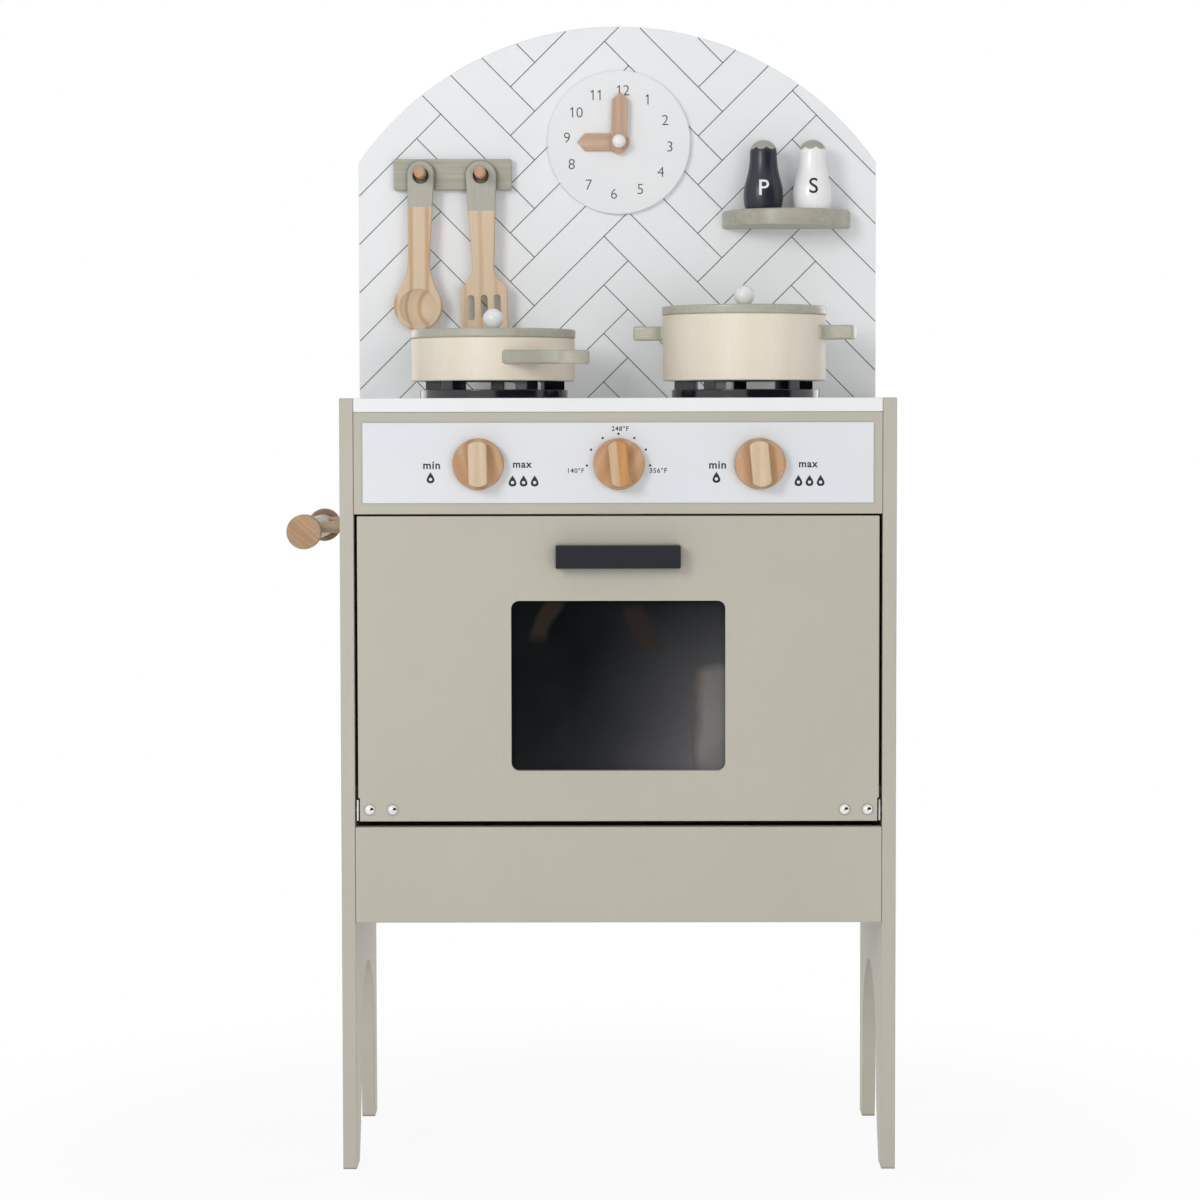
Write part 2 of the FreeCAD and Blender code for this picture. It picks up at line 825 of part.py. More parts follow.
def vessel_lid(centre, rim):
    base = point(centre, vessel_depth, rim)
    plate = Part.makeCylinder(vessel_radius + lid_overhang, lid_thickness, base)
    plate = plate.makeFillet(lid_round, rims(plate))
    step_radius = vessel_radius - vessel_wall - lid_step_clearance
    step = Part.makeCylinder(step_radius, lid_step, base - upwards * lid_step)
    pin_bottom = base + upwards * (lid_thickness - ball_pin_depth - hole_clearance)
    pin_hole = Part.makeCylinder(ball_pin_radius + hole_clearance, ball_pin_depth + overrun, pin_bottom)
    return plate.fuse(step).removeSplitter().cut(pin_hole)


def lid_ball(centre, rim):
    # The ball stands on its pin, a little clear of the lid.
    lid_top = point(centre, vessel_depth, rim + lid_thickness)
    ball_middle = lid_top + upwards * (ball_rise + ball_radius)
    pin = rod(ball_pin_radius, lid_top - upwards * ball_pin_depth, ball_middle)
    return Part.makeSphere(ball_radius, ball_middle).fuse(pin).removeSplitter()


def handle_bar(reach, widths, neck_share, cheek_shares, end_share, thickness):
    # Drawn along +x from the vessel's middle: broad at the wall, hollow cheeks to a neck, a bowed end.
    base_half, neck_half, end_half = (width / 2 for width in widths)
    root = vessel_radius - vessel_wall
    neck = vessel_radius + reach * neck_share
    cheek = vessel_radius + reach * cheek_shares[0]
    end = vessel_radius + reach * end_share
    cheek_half = neck_half + (base_half - neck_half) * (1 - cheek_shares[1])

    def in_plan(x, y):
        return point(x, y, -thickness / 2)

    edges = [
        line(in_plan(root, -base_half), in_plan(vessel_radius, -base_half)),
        arc(in_plan(vessel_radius, -base_half), in_plan(cheek, -cheek_half), in_plan(neck, -neck_half)),
        line(in_plan(neck, -neck_half), in_plan(end, -end_half)),
        arc(in_plan(end, -end_half), in_plan(vessel_radius + reach, 0), in_plan(end, end_half)),
        line(in_plan(end, end_half), in_plan(neck, neck_half)),
        arc(in_plan(neck, neck_half), in_plan(cheek, cheek_half), in_plan(vessel_radius, base_half)),
        line(in_plan(vessel_radius, base_half), in_plan(root, base_half)),
        line(in_plan(root, base_half), in_plan(root, -base_half)),
    ]
    return swept(edges, upwards * thickness)


def hollowed(bar):
    # The inner end of a handle follows the vessel's round wall.
    return bar.cut(rod(vessel_radius, upwards * -vessel_radius, upwards * vessel_radius))


def pot_handle(half_turn):
    widths = (pot_handle_base_width, pot_handle_width, pot_handle_width)
    bar = handle_bar(pot_handle_reach, widths, pot_handle_neck_share, pot_handle_cheek_shares,
                     pot_handle_end_share, pot_handle_thickness)
    bar = hollowed(eased(bar, pot_handle_round))
    bar = turned_about(bar, point(0, 0, 0), upwards, half_turn - pot_turn_degrees)
    return moved(bar, point(pot_centre, vessel_depth, pot_rim - pot_handle_below_rim))


def pan_handle():
    # Tipped down a little and turned towards the front.
    widths = (pan_handle_base_width, pan_handle_neck_width, pan_handle_end_width)
    bar = handle_bar(pan_handle_reach, widths, pan_handle_neck_share, pan_handle_cheek_shares,
                     pan_handle_end_share, pan_handle_thickness)
    bar = eased(bar, pan_handle_round)
    bar = hollowed(turned_about(bar, point(vessel_radius, 0, 0), inwards, pan_handle_droop_degrees))
    bar = turned_about(bar, point(0, 0, 0), upwards, pan_handle_turn_degrees - 90)
    return moved(bar, point(pan_centre, vessel_depth, pan_rim - pan_handle_below_rim))


# Utensil rail and utensils

def utensil_rail():
    half = rail_width / 2
    rail = eased(block(rail_offset - half, rail_offset + half, rail_front, backsplash_front,
                       rail_middle - rail_height / 2, rail_middle + rail_height / 2), edge_round)
    holes = [rod(peg_radius + hole_clearance, point(place, rail_front - overrun, rail_middle),
                 point(place, backsplash_front + overrun, rail_middle)) for place in peg_places]
    return rail.cut(holes).cut(group(fitting_holes))


def utensil_peg(place):
    peg = rod(peg_radius, point(place, backsplash_front, rail_middle),
              point(place, rail_front - peg_reach, rail_middle))
    tip = [edge for edge in rims(peg) if edge.CenterOfMass.y < rail_front]
    return peg.makeFillet(peg_round, tip)


def utensil_blank(right_side, head_width, head_rise, foot_edges):
    # An outline about z: a round head, then the right side's edges, the foot and the same side mirrored.
    def left(place):
        return point(-place.x, place.y, place.z)

    head = arc(point(-head_width / 2, 0, 0), point(0, 0, head_rise), point(head_width / 2, 0, 0))
    edges = [head]
    edges += [shape_of(places) for places in right_side]
    edges += foot_edges
    edges += [shape_of([left(place) for place in reversed(places)]) for places in reversed(right_side)]
    return swept(edges, inwards * utensil_thickness)


def shape_of(places):
    return line(*places) if len(places) == 2 else arc(*places)


def between(start, end, shares):
    # A point at its own share of the way across and of the way down.
    across_share, down_share = shares
    return point(start.x + (end.x - start.x) * across_share, 0, start.z + (end.z - start.z) * down_share)


def hung(shape, place, lean):
    shape = moved(shape, point(place, utensil_front, utensil_hang))
    return turned_about(shape, point(place, 0, rail_middle), inwards, lean)


def utensil_hole():
    return rod(utensil_hole_radius, inwards * -overrun, inwards * (utensil_thickness + overrun))


def wooden_spoon():
    half = spoon_head_width / 2
    neck_half = spoon_neck_width / 2
    below_hole = spoon_length - spoon_head_rise
    bowl_centre = -below_hole + spoon_bowl_radius
    turn = math.radians(spoon_bowl_shoulder_degrees)
    shoulder = point(spoon_bowl_radius * math.sin(turn), 0, bowl_centre + spoon_bowl_radius * math.cos(turn))
    neck = point(neck_half, 0, -below_hole * spoon_neck_share)
    cheek = between(neck, shoulder, spoon_cheek_shares)
    bowl = arc(shoulder, point(0, 0, -below_hole), point(-shoulder.x, 0, shoulder.z))
    side = [[point(half, 0, 0), neck], [neck, cheek, shoulder]]
    spoon = eased(utensil_blank(side, spoon_head_width, spoon_head_rise, [bowl]), utensil_round)
    recess_middle = upwards * (bowl_centre - spoon_recess_drop)
    hollow = (spoon_recess_radius ** 2 + spoon_recess_depth ** 2) / (2 * spoon_recess_depth)
    scoop = Part.makeSphere(hollow, recess_middle + inwards * (spoon_recess_depth - hollow))
    return hung(spoon.cut([utensil_hole(), scoop]), peg_places[0], spoon_lean_degrees)


def slotted_turner():
    half = turner_head_width / 2
    neck_half = turner_neck_width / 2
    blade_half = turner_blade_width / 2
    below_hole = turner_length - turner_head_rise
    neck = point(neck_half, 0, -below_hole * turner_neck_share)
    shoulder = point(blade_half, 0, -below_hole * turner_blade_share)
    cheek = between(neck, shoulder, turner_cheek_shares)
    foot = point(blade_half, 0, -below_hole)
    side = [[point(half, 0, 0), neck], [neck, cheek, shoulder], [shoulder, foot]]
    foot_edge = line(foot, point(-blade_half, 0, -below_hole))
    blank = utensil_blank(side, turner_head_width, turner_head_rise, [foot_edge])
    uprights = edges_along(blank, inwards)
    corners = [edge for edge in uprights if edge.CenterOfMass.z < turner_corner - below_hole]
    turner = blank.makeFillet(turner_corner, corners)
    shoulders = [edge for edge in edges_along(turner, inwards)
                 if abs(edge.CenterOfMass.z - shoulder.z) < turner_shoulder_round]
    turner = turner.makeFillet(turner_shoulder_round, shoulders)
    turner = eased(turner, utensil_round)
    slot_bottom = turner_slot_margin - below_hole
    slots = [turner_slot(k * turner_slot_pitch, slot_bottom) for k in (-1, 0, 1)]
    return hung(turner.cut([utensil_hole()] + slots), peg_places[1], turner_lean_degrees)


def turner_slot(x, bottom):
    half = turner_slot_width / 2
    slot = block(x - half, x + half, -overrun, utensil_thickness + overrun, bottom + half,
                 bottom + turner_slot_length - half)
    ends = [rod(half, point(x, -overrun, height), point(x, utensil_thickness + overrun, height))
            for height in (bottom + half, bottom + turner_slot_length - half)]
    return slot.fuse(ends).removeSplitter()


# Spice shelf and shakers

def spice_shelf():
    def on_top(x, y):
        return point(shelf_offset + x, backsplash_front - y, shelf_top - shelf_thickness)

    edges = [
        line(on_top(-shelf_radius, 0), on_top(shelf_radius, 0)),
        arc(on_top(shelf_radius, 0), on_top(0, shelf_radius), on_top(-shelf_radius, 0)),
    ]
    shelf = swept(edges, upwards * shelf_thickness)
    curved = [edge for edge in shelf.Edges if isinstance(edge.Curve, Part.Circle)]
    return shelf.makeFillet(shelf_round, curved).cut(group(fitting_holes))


def shaker_place(radius, share, centre):
    return point(centre + radius, shaker_depth, shelf_top + shaker_height * share)


def shaker_body(centre):
    base = shaker_place(shaker_base_radius, 0, centre)
    belly = shaker_place(shaker_belly_radius, shaker_belly_share, centre)
    shoulder = shaker_place(shaker_shoulder_radius, shaker_shoulder_share, centre)
    waist = shaker_place(shaker_waist_radius, shaker_waist_share, centre)
    neck = on_crown(neck_lean, centre)
    rim = on_crown(cap_lean, centre)
    foot = shaker_place(0, 0, centre)
    top = point(centre, shaker_depth, rim.z)
    edges = [line(foot, base), arc(base, belly, shoulder), arc(shoulder, waist, neck)]
    edges += [arc(neck, on_crown((neck_lean + cap_lean) / 2, centre), rim), line(rim, top), line(top, foot)]
    return turned(edges, foot, upwards)


def on_crown(lean, centre):
    # A point of the shaker's round top, at an angle from the upright.
    crown_centre = shelf_top + shaker_height - shaker_ball
    return point(centre + shaker_ball * math.sin(lean), shaker_depth,
                 crown_centre + shaker_ball * math.cos(lean))


def shaker_cap(centre):
    seat = point(centre, shaker_depth, shelf_top + shaker_height - shaker_cap_height)
    return moved(dome(shaker_ball * math.sin(cap_lean), shaker_cap_height), seat)


# Clock

def clock_point(y):
    return point(clock_offset, y, clock_height)


def clock_dial():
    dial = rod(clock_radius, clock_point(backsplash_front), clock_point(clock_front))
    front_rim = [edge for edge in rims(dial) if edge.CenterOfMass.y < (clock_front + backsplash_front) / 2]
    dial = dial.makeFillet(clock_round, front_rim)
    return dial.cut(rod(clock_pin_radius + hole_clearance, clock_point(clock_front - overrun),
                        clock_point(backsplash_front + overrun)))


def clock_hand(length, width, tail, back):
    # Round below the pin and pointed at the tip, drawn straight up.
    half = width / 2
    front = back - hand_thickness

    def on_face(x, height):
        return point(clock_offset + x, front, clock_height + height)

    edges = [
        arc(on_face(-half, -tail), on_face(0, -tail - half), on_face(half, -tail)),
        line(on_face(half, -tail), on_face(half, length - hand_point)),
        line(on_face(half, length - hand_point), on_face(0, length)),
        line(on_face(0, length), on_face(-half, length - hand_point)),
        line(on_face(-half, length - hand_point), on_face(-half, -tail)),
    ]
    hand = eased(swept(edges, inwards * hand_thickness), hand_round)
    return hand.cut(rod(clock_pin_radius + clock_pin_clearance, clock_point(front - overrun),
                        clock_point(back + overrun)))


def hour_hand():
    hand = clock_hand(hour_hand_length, hour_hand_width, hour_hand_tail, hour_back)
    return turned_about(hand, clock_point(0), inwards, -90)


def minute_hand():
    hand = clock_hand(minute_hand_length, minute_hand_width, minute_hand_tail, minute_back)
    return turned_about(hand, clock_point(0), inwards, minute_hand_lean_degrees)


def clock_pin():
    return rod(clock_pin_radius, clock_point(cabinet_depth), clock_point(cap_back - clock_pin_grip))


def clock_cap():
    ball = Part.makeSphere(clock_cap_radius, clock_point(cap_back - clock_cap_radius + hand_gap))
    behind = rod(clock_cap_radius, clock_point(cap_back), clock_point(cap_back + clock_cap_radius))
    bore = rod(clock_pin_radius + hole_clearance, clock_point(cap_back + overrun),
               clock_point(cap_back - clock_pin_grip - hole_clearance))
    return ball.cut([behind, bore])


# Towel bar

def towel_point(y):
    return point(towel_axis, y, towel_bar_height)


def towel_bar():
    return rod(towel_bar_radius, towel_point(towel_front + towel_end_thickness),
               towel_point(towel_rear - towel_end_thickness))


def towel_end(front):
    disc = rod(towel_end_radius, towel_point(front), towel_point(front + towel_end_thickness))
    return disc.makeFillet(towel_end_round, rims(disc))


def towel_standoff(y, room):
    height = towel_bar_height + standoff_rise
    end = point(-half_width + standoff_panel_depth + room, y, height)
    return rod(standoff_radius + room, point(towel_axis, y, height), end)


def towel_standoffs():
    return group([towel_standoff(y, 0).cut(towel_bar()) for y in standoff_places])


# Every node of the kitchen

nodes = {}
panel = side_panel()
nodes["side_panel_right"] = panel.cut(joint_holes)
nodes["side_panel_left"] = mirrored(panel).cut(joint_holes).cut(
    [towel_standoff(y, hole_clearance) for y in standoff_places])
nodes["worktop"] = worktop()
nodes["control_fascia"] = control_fascia()
nodes["control_plate"] = control_plate()
nodes["lower_fascia"] = lower_fascia()
nodes["oven_floor"] = oven_floor()
nodes["bottom_board"] = bottom_board()
nodes["back_panel"] = back_panel()
nodes["backsplash"] = backsplash()
nodes["carcass_screws"] = group([screw(*place) for place in carcass_screw_places()])
nodes["carcass_dowels"] = group([dowel(place, way, 0) for place, way in dowel_places()])
nodes["fitting_screws"] = group([screw(*place) for place in fitting_screw_places()])
nodes["hinge_pins"] = group([hinge_pin(), mirrored(hinge_pin())])
nodes["magnet_catch"] = magnet_catch()
for side in burner_places:
    nodes["burner_" + side] = burner(side)
nodes["utensil_rail"] = utensil_rail()
nodes["utensil_pegs"] = group([utensil_peg(place) for place in peg_places])
nodes["spice_shelf"] = spice_shelf()
nodes["clock_dial"] = clock_dial()
nodes["clock_pin"] = clock_pin()
nodes["clock_cap"] = clock_cap()
nodes["towel_bar"] = towel_bar()
nodes["towel_bar_ends"] = group([towel_end(towel_front), towel_end(towel_rear - towel_end_thickness)])
nodes["towel_standoffs"] = towel_standoffs()
nodes["oven_door"] = oven_door()
nodes["oven_window"] = oven_window()
nodes["door_handle"] = door_handle()
nodes["handle_screws"] = group([screw(*place) for place in handle_screw_places()])
nodes["hinge_bracket_right"] = hinge_bracket()
nodes["hinge_bracket_left"] = mirrored(hinge_bracket())
nodes["hinge_bolts"] = group([hinge_bolt(place) for place in all_bolt_places()])
nodes["hinge_nuts"] = group([hinge_nut(place) for place in all_bolt_places()])
nodes["catch_plate"] = catch_plate()
for name in knob_places:
    nodes["knob_disc_" + name] = knob_disc(name)
    nodes["knob_grip_" + name] = knob_grip(name)
    nodes["knob_screw_" + name] = knob_screw(name)
nodes["hour_hand"] = hour_hand()
nodes["minute_hand"] = minute_hand()
nodes["pan_body"] = vessel_body(pan_centre, pan_height)
nodes["pan_handle"] = pan_handle()
nodes["pan_lid"] = vessel_lid(pan_centre, pan_rim)
nodes["pan_lid_knob"] = lid_ball(pan_centre, pan_rim)
nodes["pot_body"] = vessel_body(pot_centre, pot_height)
nodes["pot_handles"] = group([pot_handle(0), pot_handle(180)])
nodes["pot_lid"] = vessel_lid(pot_centre, pot_rim)
nodes["pot_lid_knob"] = lid_ball(pot_centre, pot_rim)
nodes["wooden_spoon"] = wooden_spoon()
nodes["slotted_turner"] = slotted_turner()
for name, centre in zip(("pepper", "salt"), shaker_places):
    nodes[name + "_shaker"] = shaker_body(centre)
    nodes[name + "_cap"] = shaker_cap(centre)

# The origin is on the floor under the middle of everything that the kitchen carries.
reach = group(list(nodes.values())).optimalBoundingBox(False, False)
origin_shift = point(-(reach.XMin + reach.XMax) / 2, -(reach.YMin + reach.YMax) / 2, 0)

os.makedirs("parts", exist_ok=True)
for name, shape in nodes.items():
    shape.translated(origin_shift).exportStep("parts/" + name + ".step")
    print(name, "solids", len(shape.Solids), "volume", round(shape.Volume))
print("reach", round(reach.XLength), round(reach.YLength), round(reach.ZLength))
print("origin shift", round(origin_shift.x, 3), round(origin_shift.y, 3))
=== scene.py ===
import math

import bmesh
import bpy
import numpy as np
from mathutils import Matrix, Vector


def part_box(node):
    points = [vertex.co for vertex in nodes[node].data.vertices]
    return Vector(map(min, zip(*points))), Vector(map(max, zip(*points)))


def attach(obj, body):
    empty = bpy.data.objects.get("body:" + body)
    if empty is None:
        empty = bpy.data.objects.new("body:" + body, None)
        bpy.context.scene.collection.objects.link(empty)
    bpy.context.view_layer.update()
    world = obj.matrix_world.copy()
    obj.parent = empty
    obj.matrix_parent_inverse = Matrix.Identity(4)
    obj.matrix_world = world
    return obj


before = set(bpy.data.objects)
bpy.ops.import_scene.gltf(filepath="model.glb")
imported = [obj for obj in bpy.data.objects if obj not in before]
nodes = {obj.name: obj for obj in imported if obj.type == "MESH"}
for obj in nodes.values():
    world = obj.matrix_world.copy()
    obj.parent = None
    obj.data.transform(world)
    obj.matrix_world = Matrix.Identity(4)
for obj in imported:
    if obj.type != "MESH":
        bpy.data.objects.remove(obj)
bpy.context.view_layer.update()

middleX = (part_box("side_panel_left")[0].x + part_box("side_panel_right")[1].x) / 2
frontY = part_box("control_fascia")[0].y
perMetre = 1000  # millimetres
print("stage: frame loaded,", len(nodes), "nodes")


def framePoints(points):
    # Millimetres from the cabinet's middle, its front face and the floor become metres in the frame.
    return np.asarray(points, float) / perMetre + np.array([middleX, frontY, 0.0])


def rgb(red, green, blue):
    # A screen colour of 0 to 255 as the light that it stands for.
    share = np.array([red, green, blue]) / 255
    low = share / 12.92
    high = ((share + 0.055) / 1.055) ** 2.4
    return (*np.where(share <= 0.04045, low, high), 1.0)


# Node helpers

def addNode(tree, kind, sockets=None, **settings):
    # A shader node with its settings; each socket named is linked or given its value.
    node = tree.nodes.new("ShaderNode" + kind)
    for name, value in settings.items():
        setattr(node, name, value)
    for key, value in (sockets or {}).items():
        if isinstance(value, bpy.types.NodeSocket):
            tree.links.new(value, node.inputs[key])
        else:
            node.inputs[key].default_value = value
    return node


def newFinish(name):
    # An empty material with one Principled shader at its output.
    material = bpy.data.materials.new(name)
    material.use_nodes = True
    tree = material.node_tree
    tree.nodes.clear()
    shader = addNode(tree, "BsdfPrincipled")
    addNode(tree, "OutputMaterial", {"Surface": shader.outputs["BSDF"]})
    return material, tree, shader


def plugIn(tree, shader, look, tone, rough, normal):
    # What every finish ends with: colour, a gloss that follows one of its noises, dents and shine.
    tree.links.new(tone, shader.inputs["Base Color"])
    tree.links.new(noiseSpread(tree, rough, *look["gloss"]), shader.inputs["Roughness"])
    tree.links.new(normal, shader.inputs["Normal"])
    shader.inputs["Specular IOR Level"].default_value = look["shine"]


def surfacePoints(tree, turn=(0, 0, 0), shift=(0, 0, 0), stretch=(1, 1, 1)):
    # The object's own coordinates, turned and moved first and drawn out after that.
    coords = addNode(tree, "TexCoord").outputs["Object"]
    placed = addNode(tree, "Mapping", {"Vector": coords, "Rotation": turn, "Location": shift})
    drawn = addNode(tree, "Mapping", {"Vector": placed.outputs["Vector"], "Scale": stretch})
    return drawn.outputs["Vector"]


def objectPlace(tree):
    # X, Y and Z of the object's own coordinates, each by itself.
    return addNode(tree, "SeparateXYZ", {0: addNode(tree, "TexCoord").outputs["Object"]}).outputs


def speckle(tree, points, scale, detail=2.0, rough=0.5):
    sockets = {"Vector": points, "Scale": scale, "Detail": detail, "Roughness": rough}
    return addNode(tree, "TexNoise", sockets).outputs["Fac"]


def spread(tree, value, low, high, toLow=0.0, toHigh=1.0):
    # From low to high the value runs straight from toLow to toHigh, and it stays there beyond.
    sockets = {"Value": value, "From Min": low, "From Max": high, "To Min": toLow, "To Max": toHigh}
    return addNode(tree, "MapRange", sockets).outputs["Result"]


noiseSpan = (0.3, 0.7)  # nearly all values of a noise lie between these


def noiseSpread(tree, noise, toLow=0.0, toHigh=1.0):
    return spread(tree, noise, *noiseSpan, toLow, toHigh)


def maths(tree, operation, first, second):
    return addNode(tree, "Math", {0: first, 1: second}, operation=operation).outputs["Value"]


def times(tree, first, second):
    return maths(tree, "MULTIPLY", first, second)


def plus(tree, first, second):
    return maths(tree, "ADD", first, second)


def blendColours(tree, share, first, second, way="MIX"):
    node = addNode(tree, "Mix", {0: share, 6: first, 7: second}, data_type="RGBA", blend_type=way)
    return node.outputs[2]


def edgeShare(tree, radius, low=0.03, high=0.28):
    # One along the edges and nothing on the flats: how far a rounded normal leans from the true one.
    rounded = addNode(tree, "Bevel", {"Radius": radius}, samples=4).outputs["Normal"]
    plain = addNode(tree, "NewGeometry").outputs["Normal"]
    lean = addNode(tree, "VectorMath", {0: rounded, 1: plain}, operation="DOT_PRODUCT").outputs["Value"]
    return spread(tree, lean, 1 - low, 1 - high)


def rubEdges(tree, tone, look):
    # Edges go over to the paler edge colour by their share: partly wear and partly a painted highlight along
    # the edges.
    edgeWearAndHighlightMask = times(tree, edgeShare(tree, look["edge"]), look["edgeWearAndHighlightShare"])
    return blendColours(tree, edgeWearAndHighlightMask, tone, look["edgeWearAndHighlight"])


def creaseShare(tree, reach, openLevel=0.9, shutLevel=0.35):
    # Painted shade: one deep in a groove or along a joint and nothing on open faces, by how much close by is
    # shut off.
    node = addNode(tree, "AmbientOcclusion", {"Distance": reach}, samples=6)
    return spread(tree, node.outputs["AO"], openLevel, shutLevel)


creaseDepth = 0.75  # how far a shut-off corner goes over to its painted shade colour


def darkenCreases(tree, tone, look):
    # Painted shade: grooves, joints and hollows go over to the dark shade colour, where a look has one.
    if "crease" not in look:
        return tone
    shut = times(tree, creaseShare(tree, look["creaseReach"]), creaseDepth)
    return blendColours(tree, shut, tone, look["crease"])


def dent(tree, height, strength, distance, under=None):
    sockets = {"Height": height, "Strength": strength, "Distance": distance}
    if under is not None:
        sockets["Normal"] = under
    return addNode(tree, "Bump", sockets).outputs["Normal"]


# Painted boards and solid wood: colour drifts, grain shows faintly through, edges pale for wear and a painted
# highlight

paintBasics = {"turn": (0, 0, 0), "shine": 0.4, "driftScale": 7.0, "grainShift": (0.3, 0.1, 0.7),
               "grainStretch": (1, 1, 0.035), "grainSpan": (0.35, 0.75), "grainDepth": 0.0004,
               "peelScale": 1300.0, "peelDepth": 0.0002}


def paintFinish(name, changes):
    look = dict(paintBasics, **changes)
    material, tree, shader = newFinish(name)
    points = surfacePoints(tree, look["turn"])
    streaks = surfacePoints(tree, look["turn"], look["grainShift"], look["grainStretch"])
    drift = speckle(tree, points, look["driftScale"], detail=3.0)
    grain = speckle(tree, streaks, look["grainScale"], detail=4.0, rough=0.6)
    peel = speckle(tree, points, look["peelScale"])
    tone = blendColours(tree, noiseSpread(tree, drift), look["deep"], look["pale"])
    streak = spread(tree, grain, *look["grainSpan"], 0.0, look["grainShare"])
    tone = blendColours(tree, streak, tone, look["streak"])
    tone = darkenCreases(tree, rubEdges(tree, tone, look), look)
    normal = dent(tree, grain, look["grainDent"], look["grainDepth"])
    normal = dent(tree, peel, look["peelDent"], look["peelDepth"], normal)
    plugIn(tree, shader, look, tone, grain, normal)
    return material


alongX = (0, math.radians(90), 0)
alongY = (math.radians(90), 0, 0)

# The boards' shade colour paints shadow into the joints and gaps between them.
greigeBoards = {"pale": rgb(190, 185, 172), "deep": rgb(186, 181, 168), "streak": rgb(182, 177, 164),
                "edgeWearAndHighlight": rgb(203, 199, 188), "grainScale": 500.0, "grainShare": 0.25, "edge": 0.0012,
                "edgeWearAndHighlightShare": 0.55, "gloss": (0.42, 0.5), "grainDent": 0.03, "peelDent": 0.1,
                "crease": rgb(82, 78, 68), "creaseReach": 0.003}
greyWood = {"pale": rgb(176, 174, 160), "deep": rgb(168, 166, 152), "streak": rgb(152, 149, 134),
            "edgeWearAndHighlight": rgb(196, 193, 180), "grainScale": 420.0, "grainShare": 0.55, "edge": 0.0012,
            "edgeWearAndHighlightShare": 0.6, "gloss": (0.26, 0.36), "grainDent": 0.1, "peelDent": 0.08, "turn": alongX}
whiteLacquer = {"pale": rgb(238, 239, 240), "deep": rgb(234, 235, 237), "streak": rgb(228, 230, 232),
                "edgeWearAndHighlight": rgb(244, 244, 243), "grainScale": 600.0, "grainShare": 0.15, "edge": 0.001,
                "edgeWearAndHighlightShare": 0.4, "gloss": (0.3, 0.38), "grainDent": 0.02, "peelDent": 0.08, "turn": alongX}
tileBoard = {"pale": rgb(239, 241, 243), "deep": rgb(236, 238, 240), "streak": rgb(232, 234, 236),
             "edgeWearAndHighlight": rgb(241, 242, 243), "grainScale": 300.0, "grainShare": 0.12, "edge": 0.001,
             "edgeWearAndHighlightShare": 0.4, "gloss": (0.34, 0.42), "grainDent": 0.02, "peelDent": 0.1}
printedSheet = {"pale": rgb(226, 229, 232), "deep": rgb(222, 225, 229), "streak": rgb(219, 222, 226),
                "edgeWearAndHighlight": rgb(238, 239, 240), "grainScale": 700.0, "grainShare": 0.1, "edge": 0.0006,
                "edgeWearAndHighlightShare": 0.6, "gloss": (0.3, 0.4), "grainDent": 0.02, "peelDent": 0.06}
blackPaint = {"pale": rgb(36, 38, 47), "deep": rgb(31, 33, 41), "streak": rgb(27, 29, 36),
              "edgeWearAndHighlight": rgb(66, 68, 76), "grainScale": 500.0, "grainShare": 0.4, "edge": 0.001,
              "edgeWearAndHighlightShare": 0.35, "gloss": (0.45, 0.56), "grainDent": 0.05, "peelDent": 0.1, "turn": alongX,
              "shine": 0.25}
navyPaint = {"pale": rgb(36, 42, 52), "deep": rgb(29, 35, 45), "streak": rgb(24, 29, 38),
             "edgeWearAndHighlight": rgb(56, 59, 70), "grainScale": 500.0, "grainShare": 0.3, "edge": 0.001,
             "edgeWearAndHighlightShare": 0.25, "gloss": (0.28, 0.36), "grainDent": 0.04, "peelDent": 0.05, "shine": 0.5}
whiteBall = {"pale": rgb(246, 246, 246), "deep": rgb(242, 242, 243), "streak": rgb(236, 237, 238),
             "edgeWearAndHighlight": rgb(248, 248, 248), "grainScale": 500.0, "grainShare": 0.15, "edge": 0.001,
             "edgeWearAndHighlightShare": 0.3, "gloss": (0.22, 0.3), "grainDent": 0.02, "peelDent": 0.04, "shine": 0.5}


# Bare wood: growth bands, fine fibres and short dark flecks, all drawn out along the grain

woodBasics = {"turn": (0, 0, 0), "shift": (0, 0, 0), "shine": 0.35, "bandStretch": (1, 1, 0.09), "warp": 5.0,
              "bandShare": 0.55, "bandSpan": (0.25, 0.8), "patchScale": 38.0, "fibreStretch": (1, 1, 0.03),
              "fibreScale": 1100.0, "fibreSpan": (0.42, 0.72), "fibreDent": 0.16, "fleckStretch": (1, 1, 0.2),
              "fleckSpan": (0.6, 0.72), "fleckDent": 0.05, "dentDepth": 0.0003, "edge": 0.0012,
              "edgeWearAndHighlightShare": 0.3}


